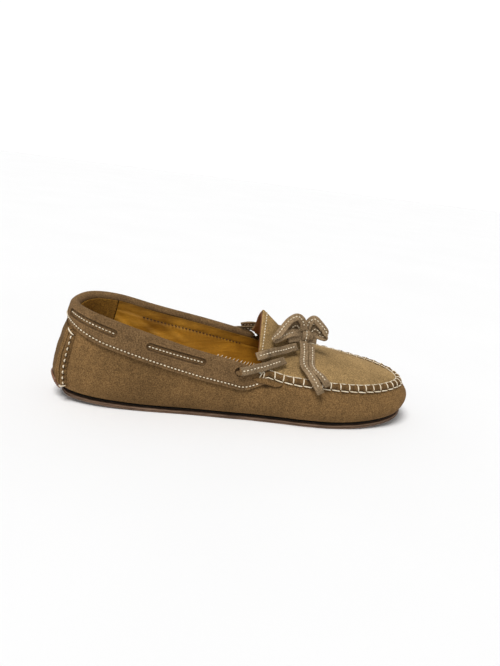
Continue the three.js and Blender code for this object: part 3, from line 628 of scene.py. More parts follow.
def bumps(tree, shader, layers):
    """Chains bump nodes, each a height, a strength and a distance in metres, into the shader."""
    last = None
    for height, strength, distance in layers:
        node = tree.nodes.new("ShaderNodeBump")
        node.inputs["Strength"].default_value = strength
        node.inputs["Distance"].default_value = distance
        tree.links.new(height, node.inputs["Height"])
        if last:
            tree.links.new(last, node.inputs["Normal"])
        last = node.outputs["Normal"]
    tree.links.new(last, shader.inputs["Normal"])


def mesh_tone(tree):
    """The mesh's tone attribute as a grey, from dark at 0 through no change at 0.5 to light at 1; it carries
    painted light and shade as well as uneven colour.
    """
    attribute = tree.nodes.new("ShaderNodeAttribute")
    attribute.attribute_name = "tone"
    scaled = tree.nodes.new("ShaderNodeMapRange")
    scaled.inputs["To Min"].default_value = TONE_DARKEST
    scaled.inputs["To Max"].default_value = TONE_LIGHTEST
    tree.links.new(attribute.outputs["Fac"], scaled.inputs["Value"])
    return scaled.outputs["Result"]


def suede(name, dark, light, sheen=0.25, grain=0.35):
    """Napped leather: brushed patches, a mottled middle scale and a fine fibrous nap."""
    material, tree, shader = new_material(name, 0.95, 0.12, sheen)
    shader.inputs["Sheen Tint"].default_value = (*light, 1)
    patches = grey_layer(tree, noise(tree, 38, 2, distortion=0.6), 0.3, 0.7, 0.82, 1.16)
    mottle = grey_layer(tree, noise(tree, 300, 4, (1, 1, 0.7)), 0.3, 0.7, 0.87, 1.11)
    speckle = grey_layer(tree, noise(tree, 1150, 2), 0.38, 0.62, 0.74, 1.24)
    nap = ramp(tree, noise(tree, 2400, 2), 0.3, 0.7, dark, light)
    paint(tree, shader, nap, speckle, mottle, patches)
    bumps(tree, shader, [
        (noise(tree, 420, 3), 0.55, 0.0004),
        (noise(tree, 1500, 2), grain, 0.0003),
    ])
    return material


def lining_leather(name, dark, light, roughness, wrinkle):
    """Smooth leather with pores and a soft broad unevenness."""
    material, tree, shader = new_material(name, roughness, 0.4, 0.0, 0.05)
    broad = ramp(tree, noise(tree, 55, 3, (1, 1, 1.6)), 0.3, 0.7, dark, light)
    fine = grey_layer(tree, noise(tree, 900, 3), 0.3, 0.7, 0.9, 1.06)
    paint(tree, shader, broad, fine)
    bumps(tree, shader, [
        (noise(tree, 180, 4, (0.5, 1, 2.2), 0.5), wrinkle, 0.0006),
        (noise(tree, 1500, 2), 0.15, 0.0001),
    ])
    return material


def thread_material():
    material, tree, shader = new_material("cream_thread", 0.75, 0.3, 0.1)
    twist = tree.nodes.new("ShaderNodeTexWave")
    twist.bands_direction = "DIAGONAL"
    twist.inputs["Scale"].default_value = 700
    tree.links.new(tree.nodes.new("ShaderNodeTexCoord").outputs["Object"], twist.inputs["Vector"])
    colour = ramp(tree, noise(tree, 700, 2), 0.3, 0.7, (0.62, 0.5, 0.33), (0.9, 0.8, 0.62))
    paint(tree, shader, colour, grey_layer(tree, twist.outputs["Fac"], 0.0, 0.6, 0.8, 1.0))
    bumps(tree, shader, [(twist.outputs["Fac"], 0.5, 0.0001)])
    return material


def sole_leather():
    material, tree, shader = new_material("sole_leather", 0.7, 0.3)
    fibres = noise(tree, 300, 4, (0.25, 0.25, 4))
    layers = ramp(tree, fibres, 0.3, 0.7, (0.075, 0.04, 0.022), (0.22, 0.135, 0.085))
    scuffs = grey_layer(tree, noise(tree, 60, 5, distortion=1.2), 0.35, 0.75, 0.75, 1.15)
    paint(tree, shader, layers, scuffs)
    bumps(tree, shader, [(noise(tree, 500, 4, (0.3, 0.3, 3)), 0.4, 0.0003)])
    return material


def speckled(name, dark, light, scale, roughness, depth):
    """A plain matt material with a grain: foam, board and the dark layer of the sole."""
    material, tree, shader = new_material(name, roughness, 0.2)
    grain = noise(tree, scale, 4)
    tree.links.new(ramp(tree, grain, 0.3, 0.7, dark, light), shader.inputs["Base Color"])
    bumps(tree, shader, [(grain, 0.5, depth)])
    return material


WALL_SUEDE = suede("wall_suede", (0.094, 0.049, 0.0165), (0.205, 0.118, 0.046))
APRON_SUEDE = suede("apron_suede", (0.21, 0.128, 0.048), (0.4, 0.262, 0.114))
COLLAR_SUEDE = suede("collar_suede", (0.09, 0.05, 0.02), (0.195, 0.116, 0.052), 0.3)
LACE_SUEDE = suede("lace_suede", (0.135, 0.088, 0.045), (0.3, 0.21, 0.122), 0.3, 0.6)
LINING_LEATHER = lining_leather("lining_leather", (0.25, 0.108, 0.007), (0.5, 0.235, 0.02), 0.5, 0.6)
HEEL_LINING = suede("lining_suede", (0.14, 0.064, 0.008), (0.29, 0.145, 0.026), 0.2)
SOCK_LEATHER = lining_leather("sock_leather", (0.3, 0.145, 0.03), (0.48, 0.25, 0.06), 0.45, 0.25)
TAB_LEATHER = lining_leather("edge_leather", (0.15, 0.06, 0.028), (0.3, 0.135, 0.062), 0.45, 0.3)
SOLE_LEATHER = sole_leather()
SOLE_EDGE = speckled("sole_edge", (0.006, 0.004, 0.003), (0.02, 0.014, 0.01), 900, 0.9, 0.0002)
FIBREBOARD = speckled("fibreboard", (0.3, 0.22, 0.13), (0.5, 0.4, 0.27), 1200, 0.9, 0.0001)
FOAM = speckled("foam", (0.62, 0.56, 0.42), (0.8, 0.75, 0.6), 2500, 0.95, 0.0003)
CREAM = thread_material()
DARK_THREAD = speckled("dark_thread", (0.03, 0.014, 0.006), (0.08, 0.04, 0.016), 1500, 0.8, 0.0001)


# ---------------------------------------------------------------- the stitches round the apron
def seam_table():
    """Stations along the apron seam with their arc lengths, and the count of hand stitches."""
    s = np.linspace(RIDGE_START, SEAM_END, 900)
    arcs = arc_lengths(top_curve(s))
    return s, arcs, int(round(arcs[-1] / SEAM_PITCH))


SEAM_S, SEAM_ARCS, SEAM_STITCHES = seam_table()


def stitch_phase(s):
    """How far along the seam a station lies, in stitches."""
    return np.interp(s, SEAM_S, SEAM_ARCS) / SEAM_ARCS[-1] * SEAM_STITCHES


def stitch_station(phase):
    return np.interp(np.asarray(phase, float) / SEAM_STITCHES * SEAM_ARCS[-1], SEAM_ARCS, SEAM_S)


def gather(phase):
    """0 where a stitch pinches the leather, 1 half-way between two stitches."""
    return 0.5 - 0.5 * np.cos(2 * math.pi * phase)


# ---------------------------------------------------------------- the wall
# How far below the rim the wall ends: inside the collar, and inside the sewn ridge.
WALL_IN_COLLAR, WALL_IN_RIDGE = 6.2, 2.6
# How far the suede swells between two stitches of the seam, dips along the seam and rolls elsewhere.
WALL_SWELL, WALL_DIP, WALL_ROLL = 0.55, 0.35, 0.3
APRON_SWELL, APRON_DIP, APRON_ROLL = 0.5, 0.9, 0.25


def wall_top_drop(s):
    by_seam = smooth(SEAM_START - 0.1, SEAM_START + 0.1, s) * (1 - smooth(SEAM_END - 0.1, SEAM_END + 0.1, s))
    return mix(WALL_IN_COLLAR, WALL_IN_RIDGE, by_seam)


def build_wall():
    s = np.arange(0, COUNT, 1 / 16)[:, None]
    top = below(s, wall_top_drop(s))
    v = np.linspace(0, 1, 56)[None, :] * top
    arcs_down = np.linalg.norm(wall_centre(s, v) - wall_centre(s, top), axis=-1)
    on_seam = smooth(SEAM_START, SEAM_START + 0.6, s) * (1 - smooth(SEAM_END - 0.6, SEAM_END, s))
    pucker = gather(stitch_phase(s)) * np.exp(-arcs_down / 3.2) * on_seam
    flow = waves(s * 2.2, v * 5, seed=3)
    height = WALL_SWELL * pucker - WALL_DIP * np.exp(-arcs_down / 2) * on_seam
    height = height + WALL_ROLL * flow * smooth(0, 0.25, v) - 0.5 * (1 - smooth(0, 0.04, v))
    outer = wall_point(s, v, height)
    inner = wall_point(s, v, -SUEDE)
    # the wall is painted darker towards the sole: painted shade
    by_sole = 1 - smooth(0.02, 0.3, v)
    # a band of painted shadow on the wall just under the collar's lower edge
    under_collar = collar_drop(s) + 0.4 - arcs_down - wall_top_drop(s)
    collar_edge_shadow = bell(np.minimum(under_collar, 0), 0.8) * (1 - on_seam)
    # the swells between the seam's stitches are painted lighter: painted highlight, with painted shade at the
    # pinches
    tone = 0.5 + 0.07 * pucker - 0.07 * by_sole + 0.03 * flow - 0.2 * collar_edge_shadow
    # a line of painted shade along the wall just under the sewn ridge
    tone = tone - 0.16 * bell(arcs_down - 1.6, 0.9) * on_seam
    x = wall_centre(s, v)[..., 0]
    # lighter towards the heel and the toe: partly the nap's brushed look, partly painted light
    tone = tone + 0.16 * (1 - smooth(0, 48, x)) + 0.09 * smooth(185, 225, x)
    # painted shadow on the wall just under the flap's lower edge
    under_flap = arcs_down + wall_top_drop(s) - flap_edges(s)[1] - 0.5
    tone = tone - 0.3 * bell(under_flap, 0.7) * (s > FLAP_START) * (s < FLAP_END)
    mesh = sheet(outer, inner, closed=True)
    piece("suede_wall", mesh, WALL_SUEDE, replaces=["wall"], tone=tone)


# ---------------------------------------------------------------- the apron and its gathered seam
APRON_LENGTH = 118          # from the tongue's fold to the toe
SEAM_INSET = 1.3            # of the apron's edge from the seam's line


def apron_width(k):
    return np.linalg.norm(apron_centre(k, -1.0) - apron_centre(k, 1.0), axis=-1)


def seam_dip(s):
    """How far the sewn ridge dips below the rim's line where it runs in under the collar's tip."""
    return 6.5 * np.maximum(6.9 - s, 0)


def build_apron():
    along = np.linspace(0, 1, 150)[:, None]**0.9
    across = np.linspace(-1, 1, 110)[None, :]
    corner = 0.075 * smooth(0.78, 0.9, -across) + 0.02 * smooth(0.8, 0.95, across)
    back = HINGE - corner
    k = back + (0.985 - back) * along
    width = apron_width(k)
    t = across * (1 - 2 * SEAM_INSET / width)
    from_side = (1 - np.abs(t)) * width / 2
    from_toe = (1 - k) * APRON_LENGTH
    distance = np.minimum(from_side, from_toe)
    side = np.where(t < 0, mix(SEAM_START, TOE, k), mix(SEAM_END, TOE, k))
    pucker = gather(stitch_phase(side)) * np.exp(-distance / 3)
    flow = waves(k * 14, t * 3, seed=8)
    height = APRON_SWELL * pucker - APRON_DIP * np.exp(-distance / 2.2) + APRON_ROLL * flow
    height = height * smooth(-0.01, 0.03, k)
    outer = apron_point(k, t, height)
    inner = apron_point(k, t, height - SUEDE)
    dip = seam_dip(side) * smooth(0.84, 0.97, -t)
    outer[..., 2] -= dip
    inner[..., 2] -= dip
    # tone: painted highlight on the swells between the seam's stitches, painted shade where the edge dips
    # into the seam, and painted shade on the corners behind the fold, under the lace straps
    tone = 0.5 + 0.06 * pucker - 0.14 * np.exp(-distance / 1.2) + 0.03 * flow - 0.1 * smooth(0, -0.03, k)
    piece("suede_apron", sheet(outer, inner), APRON_SUEDE, replaces=["apron"], tone=tone)


RIDGE_HALF_WIDTH, RIDGE_HALF_HEIGHT = 1.75, 2.35
RIDGE_OUT, RIDGE_UP = -0.1, -0.6


def ridge_size(phase):
    """How far the gathered ridge swells between its stitches, with each puff a little different."""
    puff = np.random.default_rng(5).uniform(0.94, 1.06, SEAM_STITCHES + 2)
    return (0.84 + 0.2 * gather(phase)**0.6) * puff[np.floor(phase).astype(int) + 1]


def build_gathered_seam():
    phase = np.linspace(0.05, SEAM_STITCHES - 0.05, SEAM_STITCHES * 14)
    s = stitch_station(phase)
    _, outward, upward, _ = rim_frame(s)
    centre = rim_point(s, np.full_like(s, RIDGE_OUT), RIDGE_UP - seam_dip(s))
    angle = ring_angles(20)
    section = np.stack([RIDGE_HALF_WIDTH * signed_power(np.cos(angle), 0.75),
                        RIDGE_HALF_HEIGHT * signed_power(np.sin(angle), 0.8)], -1)
    ends = edge_round(np.minimum(phase, SEAM_STITCHES - phase) * SEAM_PITCH, 4)
    size = ridge_size(phase) * ends
    mesh = sweep(centre, outward, upward, section, size)
    lit_from_above = 0.62 + 0.38 * np.clip(0.5 + 0.9 * np.sin(angle), 0, 1)
    # tone: the ridge is darker than the wall, partly its turned nap and partly painted shade; darkest at the
    # pinched stitches and lighter on the puffs between them, as painted shade and highlight; lit_from_above
    # paints the top lit and the underside shaded
    tone = (0.34 + 0.22 * gather(phase))[:, None] * lit_from_above[None, :]
    piece("gathered_seam", mesh, WALL_SUEDE, replaces=["apron_seam"], tone=tone)


def ridge_ring(s, angle, reach):
    """A point over the ridge: the angle is from straight out of the wall, upwards."""
    return rim_point(s, RIDGE_OUT + (RIDGE_HALF_WIDTH + reach) * np.cos(angle),
                     RIDGE_UP - seam_dip(s) + (RIDGE_HALF_HEIGHT + reach) * np.sin(angle))


def build_seam_stitching():
    """Each hand stitch is a bar over the ridge, a dash under it and a dash along its top."""
    rng = np.random.default_rng(11)
    over = np.radians(np.linspace(-62, 128, 11))
    parts = []
    for i in range(SEAM_STITCHES):
        at = i + 0.5 + rng.uniform(-0.05, 0.05)
        lean = rng.uniform(-0.04, 0.08)
        s = stitch_station(at + lean * np.linspace(-1, 1, len(over)))
        *_, around = rim_frame(s)
        parts.append(thread(ridge_ring(s, over, 0.1), around, HAND_THREAD))
    # two threads lead in from under the flap to the first stitch's top and foot
    for phase, angle in ((0.42, 70), (0.5, -50)):
        u = np.linspace(0, 1, 7)
        path = ridge_ring(stitch_station(mix(-0.1, phase, u)), np.radians(mix(-40, angle, u)), 0.5)
        parts.append(thread(path, unit(rim_frame(stitch_station(phase * u))[1]), HAND_THREAD))
    # a dash at the ridge's foot and one on its top join each stitch to the next
    for i in range(SEAM_STITCHES - 1):
        for angle, reach, sag in ((-62, 0.5, 0.35), (100, 0.3, -0.1)):
            u = np.linspace(0, 1, 6)
            s = stitch_station(i + 0.5 + 0.06 + 0.86 * u)
            _, outward, upward, _ = rim_frame(s)
            path = ridge_ring(s, np.full(6, math.radians(angle)), reach)
            path = path - upward * (sag * u + rng.uniform(0, 0.25))[:, None]
            parts.append(thread(path, outward, HAND_THREAD * 0.92))
    piece("seam_stitching", joined(parts), CREAM, replaces=["apron_thread"])


FLAP_START, FLAP_END = 5.85, 7.8        # stations of the flap where the sewn ridge starts
FLAP_MIRROR = 26.6                      # the sum of two stations that lie opposite each other there


def flap_edges(s):
    """How far below the rim the flap's upper and lower edges run."""
    u = (s - FLAP_START) / (FLAP_END - FLAP_START)
    closing = 3.4 * (1 - np.sqrt(np.clip(1 - (np.maximum(u - 0.72, 0) / 0.28)**2, 0, 1)))
    upper = 8.4 - 4.2 * np.sqrt(np.clip(u / 0.5, 0, 1))
    return upper, 8.7 - 1.2 * u - closing


def build_front_flap(name, medial=False):
    """The wall's edge where the ridge starts: a slim leaf that lies over the collar's tip."""
    s = np.linspace(FLAP_START, FLAP_END, 60)
    upper, lower = flap_edges(s)
    drop = lower[:, None] + (upper - lower)[:, None] * np.linspace(0, 1, 14)[None, :]
    proud = mix(3.5, 1.9, smooth(6.5, 7.2, s))[:, None]
    edge = edge_round(np.minimum(drop[:, :1] - drop, drop - drop[:, -1:]) + 0.05, 0.9)
    if medial:
        s = FLAP_MIRROR - s
    v = below(s, drop)
    outer = wall_point(s[:, None], v, proud - 0.9 * (1 - edge))
    inner = wall_point(s[:, None], v, proud - 1.4)
    # tone: painted highlight along the lower edge, which catches the light, and painted shade towards the
    # ridge above
    tone = 0.44 + 0.14 * np.exp((drop - drop[:, :1]) / 0.6) - 0.1 * smooth(1.5, 3.5, drop[:, :1] - drop)
    piece(name, sheet(outer, inner), WALL_SUEDE, tone=tone)


# ---------------------------------------------------------------- the tongue
# Along the apron, as shares of its length: where the tongue has bent fully, and where its backing ends.
TONGUE_BEND, BACKING_END = -0.03, -0.006


def tongue_back(t):
    """The tongue's back edge, cut forward on the inner (medial) side."""
    return TONGUE_TIP + 0.062 * smooth(0, 1, np.maximum(t, 0)) + 0.008 * smooth(0.3, 1, -t)


def build_tongue():
    across = np.linspace(-1, 1, 90)[None, :]
    back = tongue_back(across)
    k = back + (HINGE - back) * np.linspace(0, 1, 44)[:, None]
    width = apron_width(k)
    t = across * (1 - 2 * TONGUE_MARGIN / width)
    from_side = (1 - np.abs(t)) * width / 2 - TONGUE_MARGIN
    from_back = (k - back) * APRON_LENGTH
    distance = np.minimum(from_side, from_back)
    flow = waves(k * 14, t * 3, seed=8)
    # thin and rounded at its cut edge, as thick as the apron where it joins it
    rounding = mix(edge_round(distance + 0.05, 0.9), 1, smooth(-0.02, HINGE, k))
    middle = -SUEDE / 2 + APRON_ROLL * flow * smooth(0, -0.02, k)
    outer = apron_point(k, t, middle + SUEDE / 2 * rounding)
    inner = apron_point(k, t, middle - SUEDE / 2 * rounding)
    # tone: darker towards its front, where it runs in under the bow and straps: painted shade; lighter along
    # its cut edge
    tone = 0.43 + 0.14 * (1 - smooth(0, 0.8, distance)) + 0.04 * flow - 0.12 * smooth(-0.05, 0, k)
    flap = piece("suede_tongue", sheet(outer, inner), APRON_SUEDE, None, ["tongue"], tone)
    bent, still = to_frame(apron_centre(np.array([TONGUE_BEND, 0.0]), np.zeros(2)))
    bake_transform(flap)

    lined = middle - SUEDE / 2 - GAP
    rows = int(np.max(np.sum(k < BACKING_END, axis=0)))
    lining = sheet(apron_point(k, t, lined)[:rows], apron_point(k, t, lined - LINING * rounding)[:rows])
    piece("tongue_backing", lining, TAB_LEATHER, "tongue_flap", ["tongue_lining"])

    t = np.linspace(-0.82, 0.5, 160)
    row_k = tongue_back(t) + 0.024 + 0.034 * smooth(0.74, 0.82, np.abs(t))
    path, normals = apron_point(row_k, t, 0.15), apron_normal(row_k, t)
    stitches = running_stitches(path, normals, *TONGUE_SEWING)
    piece("tongue_stitching", joined(stitches), CREAM, "tongue_flap", ["tongue_thread"])


# ---------------------------------------------------------------- the padded collar
LIP_HEIGHT, GROOVE_DEPTH, COLLAR_ROLL = 0.55, 0.3, 0.22     # round the windows, under the stitches, elsewhere


def collar_skeleton(s):
    """The collar's outer surface at each station, from its lower edge over the roll to its inside edge."""
    drop = collar_drop(s)[:, None]
    share = np.linspace(1, 0, 40)[None, :]
    depth = ROLL_RADIUS + (drop - ROLL_RADIUS) * share
    lift = mix(1.9, COLLAR_HEIGHT, smooth(0, 4, drop - depth))
    leg = wall_point(s[:, None], below(s, depth), lift)
    straight = rim_point(np.broadcast_to(s[:, None], depth.shape), lift, -depth)
    leg = mix(leg, straight, (1 - smooth(ROLL_RADIUS, ROLL_RADIUS + 3.5, depth))[..., None])
    angle = np.linspace(0, math.pi, 20)[None, 1:]
    across = np.broadcast_to(s[:, None], (len(s), angle.shape[1]))
    roll = rim_point(across, ROLL_CENTRE + ROLL_RADIUS * np.cos(angle), ROLL_RADIUS * (np.sin(angle) - 1))
    turn = np.linspace(0, 1, 6)[None, 1:]
    across = np.broadcast_to(s[:, None], (len(s), turn.shape[1]))
    out = np.full(turn.shape, ROLL_CENTRE - ROLL_RADIUS)
    inside = rim_point(across, out, -ROLL_RADIUS - COLLAR_INSIDE * turn)
    grid = np.concatenate([leg, roll, inside], 1)
    over = np.concatenate([ROLL_RADIUS * (1 - angle), -ROLL_RADIUS * math.pi - COLLAR_INSIDE * turn], 1)
    depth = np.concatenate([depth, np.broadcast_to(over, (len(s), over.shape[1]))], 1)
    return grid, depth


def pill_distance(x, y, half_length, half_width):
    """Signed distance to the outline of a slot with round ends: negative inside."""
    return np.hypot(np.maximum(np.abs(x) - (half_length - half_width), 0), y) - half_width


def window_distance(s, arcs, depth):
    """Distance of each point of the collar from the nearest window's outline."""
    offset = depth - lace_drop(s)[:, None]
    medial_windows = [(-end, -start) for start, end in WINDOWS]
    distance = np.full(depth.shape, np.inf)
    for start, end in WINDOWS + medial_windows + SLITS:
        a, b = np.interp([COUNT + start, COUNT + end], s, arcs)
        x = (arcs - (a + b) / 2)[:, None]
        distance = np.minimum(distance, pill_distance(x, offset, (b - a) / 2, WINDOW_HALF))
    return distance


def build_collar():
    s = np.linspace(COLLAR_START - 0.25, COLLAR_END + 0.05, 620)
    arcs = arc_lengths(top_curve(s))
    grid, depth = collar_skeleton(s)
    normal = grid_normals(grid)
    window = window_distance(s, arcs, depth)
    recess = 1 - smooth(-0.5, 0.0, window)
    lip = bell(window - 0.55, 0.42)
    from_edge = collar_drop(s)[:, None] - depth
    groove = bell(from_edge - STITCH_INSET, 0.6)
    flow = waves(arcs[:, None] / 9, depth * 0.1, seed=14)
    height = LIP_HEIGHT * lip - RECESS * recess - GROOVE_DEPTH * groove + COLLAR_ROLL * flow
    outer = grid + normal * height[..., None]
    inner = outer - normal * mix(COLLAR_SKIN, 0.3, recess)[..., None]

    # the front ends close to a rounded tip low beside the lace
    medial = edge_round(arcs + 0.4, MEDIAL_TAPER)
    lateral = edge_round(arcs[-1] - arcs + 0.4, LATERAL_TAPER)
    size = np.minimum(medial, lateral)[:, None, None]
    tip_drop = np.where(arcs > arcs[-1] / 2, 0.78 * collar_drop(s), 7.5)
    anchor = wall_row(s, tip_drop, 0.7)[0][:, None]
    outer = anchor + (outer - anchor) * size
    inner = anchor + (inner - anchor) * size

    # tone: painted highlight on the lip round each window and along the roll's crest; painted shade in the
    # windows' recess, round their outline and in the stitch groove; lighter just above the lower edge
    tone = 0.5 + 0.14 * lip - 0.12 * recess - 0.12 * groove + 0.03 * flow
    tone = tone - 0.3 * bell(window + 0.1, 0.3)
    tone = tone + 0.08 * bell(from_edge - 0.6, 0.5) + 0.09 * bell(depth + 1, 2.2)
    made = piece("padded_collar", sheet(outer, inner), COLLAR_SUEDE, replaces=["collar"], tone=tone)

    inside = (arcs > ROW_START) & (arcs < arcs[-1] - ROW_END)
    rise = 2.35 * np.clip(lateral[inside], 0.5, 1)
    row = wall_row(s[inside], collar_drop(s[inside]) - STITCH_INSET, rise)
    stitches = running_stitches(*row, *COLLAR_SEWING)
    piece("collar_stitching", joined(stitches), CREAM, replaces=["collar_thread"])


def lace_section(width=LACE_WIDTH, thickness=LACE_THICKNESS):
    """A flat strip with rounded edges and a shallow channel along its middle for the stitches."""
    angle = ring_angles(24)
    x = signed_power(np.cos(angle), 0.5) * width / 2
    z = signed_power(np.sin(angle), 0.4) * thickness / 2
    z = z * (1 - 0.25 * bell(x, 0.8))
    return np.stack([x, z], -1)


def slit_turn(name, inside, face):
    """The lace's turn out of a slit, from inside the collar to the start of its free strap."""
    (start, look), (after, _) = ROUTES[name][:2]
    start, after = np.array(start, float), np.array(after, float)
    path = open_curve([inside, mix(inside, start, 0.5) + face * 0.5, start, mix(start, after, 0.25)])
    return sweep(*lie_flat(path(np.linspace(0, 1, 24)), look), lace_section(LACE_WIDTH - 0.3, 1.4))


def build_collar_lace():
    """The lace's stretch inside the collar comes up to the windows and dips under between them."""
    s = np.linspace(COUNT - SLIT + 0.05, COUNT + SLIT + 0.12, 420)
    drop = lace_drop(s)
    window = window_distance(s, arc_lengths(top_curve(s)), drop[:, None])[:, 0]
    height = mix(1.2, 0.7, smooth(-1.5, 1.5, window))
    centre, across, face = lie_flat(*wall_row(s, drop, height))
    parts = [sweep(centre, across, face, lace_section(LACE_WIDTH - 1.5, 1.3))]
    for name, end in (("strap_lower_lateral", -1), ("strap_lower_medial", 0)):
        parts.append(slit_turn(name, centre[end] + face[end] * 0.4, face[end]))
    # the lace inside the collar gets the collar's darker suede and a lower tone than the free lace: painted
    # shade, where it lies sunk in the windows
    piece("collar_lace_run", joined(parts), COLLAR_SUEDE, replaces=["collar_lace"], tone=0.44)

    shown = window < -0.6
    edges = np.flatnonzero(np.diff(shown.astype(int)))
    stitches = []
    for a, b in zip(edges[::2], edges[1::2]):
        seen = slice(a + 1, b)
        stitches += running_stitches(centre[seen] + face[seen] * 0.6, face[seen], *HIDDEN_LACE_SEWING)
    piece("collar_lace_stitching", joined(stitches), CREAM)


# ---------------------------------------------------------------- linings and footbed
LINING_TOP = 3.9            # the linings' top edge below the rim
LINING_FOOT = 0.06          # where they start, as a share of the wall's height
LINING_SEAM_DROP = 10.2     # the stitched seam that runs along each side lining
LINING_SEAM_HEIGHT, LINING_CREASE = 0.3, 0.45
VAMP_MARGIN = 5.5           # of the apron's lining from the seam


def build_lining(name, node, s_from, s_to, rim_drop, material, wrinkled=False):
    s = np.linspace(s_from, s_to, int(abs(s_to - s_from) * 18) + 8)[:, None]
    top = below(s, np.full_like(s, rim_drop))
    v = mix(LINING_FOOT, top, np.linspace(0, 1, 64)[None, :])
    depth = np.linalg.norm(wall_centre(s, v) - wall_centre(s, top), axis=-1) + rim_drop
    arcs = arc_lengths(top_curve(s[:, 0]))[:, None]
    flow = waves(arcs / 7, depth / 6, seed=len(name))
    height = -0.2 * flow
    tone = 0.5 + 0.03 * flow
    if wrinkled:
        seam = bell(depth - LINING_SEAM_DROP, 0.5)
        under = smooth(LINING_SEAM_DROP, LINING_SEAM_DROP + 1.5, depth)
        folds = waves(arcs / 2.6 + depth / 1.8, depth / 1.2, seed=31, count=7)
        x = top_curve(s)[..., 0]
        by_heel = 1 - smooth(60, 100, x)
        creases = folds * by_heel * under
        height = height + LINING_SEAM_HEIGHT * (seam - under) + LINING_CREASE * creases
        # tone: painted light on the wrinkles' crests and shade in their troughs, painted light on the lining
        # below the seam, growing towards the front, and a band of painted shadow under the rim
        tone = tone - 0.12 * seam + 0.14 * creases + (0.05 + 0.1 * smooth(70, 115, x)) * under
        tone = tone - 0.25 * bell(depth - rim_drop, 1.6)
    outer = wall_point(s, v, -LINING_DEPTH)
    inner = wall_point(s, v, -LINING_DEPTH - LINING + np.minimum(height, 0.5) * 0.8)
    piece(name, sheet(inner, outer), material, replaces=[node], tone=tone)


def build_linings():
    heel, side = 1.95, 1.98
    build_lining("heel_grip_lining", "heel_lining", -heel, heel, LINING_TOP, HEEL_LINING)
    for name, first, last in (("lateral", side, 6.35), ("medial", 19.35, COUNT - side)):
        build_lining(f"side_lining_{name}", f"lining_{name}", first, last, LINING_TOP, LINING_LEATHER, True)
    build_lining("toe_box_lining", "toe_lining", 6.75, 19.3, SUEDE + 4, LINING_LEATHER)
    k = np.linspace(0.03, 0.9, 60)[:, None]
    t = np.linspace(-1, 1, 40)[None, :] * (1 - 2 * VAMP_MARGIN / apron_width(k))
    outer = apron_point(k, t, -SUEDE - GAP - 0.5)
    inner = apron_point(k, t, -SUEDE - GAP - 1.1)
    piece("apron_lining", sheet(outer, inner), LINING_LEATHER, replaces=["vamp_lining"])

    stitches = []
    for first, last in ((2.7, 5.6), (20.4, 23.3)):
        s = np.linspace(first, last, 160)
        path, normals = wall_row(s, LINING_SEAM_DROP, -LINING_DEPTH - LINING - 0.25)
        stitches += running_stitches(path, -normals, *LINING_SEWING)
    piece("lining_stitching", joined(stitches), DARK_THREAD)
    build_lining_whip_stitches()


def build_lining_whip_stitches():
    """Slanted cream stitches that close the inner lining's front, low inside the shoe."""
    rng = np.random.default_rng(23)
    stitches = []
    for s in np.linspace(19.7, 21.1, 12):
        u = np.linspace(-1, 1, 5)
        drop = 25.6 + 0.6 * (20.5 - s) + rng.uniform(-0.3, 0.3) - 1.5 * u
        stations = s - 0.05 * u + rng.uniform(-0.01, 0.01)
        path, normals = wall_row(stations, drop, -LINING_DEPTH - LINING - 0.35)
        stitches.append(thread(path - normals * (0.3 * (1 - u * u))[:, None], normals, HAND_THREAD * 0.8))
    piece("lining_whip_stitches", joined(stitches), CREAM)


FOOT_LENGTH = 240           # about how long the sole is


def foot_plate(inset, top, bottom, start, end, rows=90):
    """A plate under the foot, between the two sides of the sole's outline, with rounded sides."""
    u = np.linspace(start, end, rows)[:, None]
    outer = sole_outline(TOE * u, inset)
    inner = sole_outline(mix(COUNT, TOE, u), inset)
    t = np.linspace(0, 1, 20)[None, :, None]
    flat = mix(outer, inner, t)
    width = np.linalg.norm(outer - inner, axis=-1)
    side = np.minimum(t[..., 0], 1 - t[..., 0]) * width
    ends = np.minimum(u - start, end - u) * FOOT_LENGTH
    rounding = edge_round(np.minimum(side, ends + 0.05) + 0.03, 0.7)
    middle, half = (top + bottom) / 2, (top - bottom) / 2
    lift = spring(flat[..., 0])
    upper, lower = flat.copy(), flat.copy()
    upper[..., 2] = lift + middle + half * rounding
    lower[..., 2] = lift + middle - half * rounding
    return upper, lower


BOARD = 1.4                 # thickness of the insole board, of the sock and of the pad under the heel
SOCK = 1.2
HEEL_PAD = 2
SOCK_INSET = 2.4            # of the sock from the sole's outline
MIDSOLE_INSET = 1.2


def build_sock():
    base = UPPER_BASE + BOARD + GAP
    upper, lower = foot_plate(SOCK_INSET, base + SOCK, base, 0.022, 0.96)
    step = (HEEL_PAD + GAP) * (1 - smooth(96, 120, upper[..., 0]))
    dish = 0.5 * waves(upper[..., 0] / 16, upper[..., 1] / 12, seed=2)
    upper[..., 2] += step + 0.25 * dish
    lower[..., 2] += step
    piece("sock", sheet(upper, lower), SOCK_LEATHER, replaces=["sock_liner"])


# The outsole's section, from the middle of its tread round the edge to the middle of its top: how far
# in towards the middle as a share, how far in from the outline, the height, and the tone there. The tone is
# painted dark in the groove round the welt, as shade, and light on the welt's rolls, as highlight.
SOLE_PROFILE = [
    (1, 0, 0.05, 0.34), (0.7, 0, 0, 0.36), (0.3, 0, 0, 0.36), (0, 0.9, 0, 0.4),
    (0, 0.25, 0.12, 0.45), (0, 0, 0.5, 0.52), (0, 0.02, 0.85, 0.46), (0, 0.35, 1.05, 0.25),
    (0, 0.35, 1.2, 0.25), (0, 0.05, 1.35, 0.5), (0, 0, 1.8, 0.62), (0, 0.2, 2.15, 0.55),
    (0, 0.8, OUTSOLE, 0.4), (0.3, 0, OUTSOLE, 0.4), (0.7, 0, OUTSOLE, 0.4), (1, 0, OUTSOLE, 0.4),
]
SPINE_END = 0.035           # the middle line stops this share of the length short of the heel and the toe


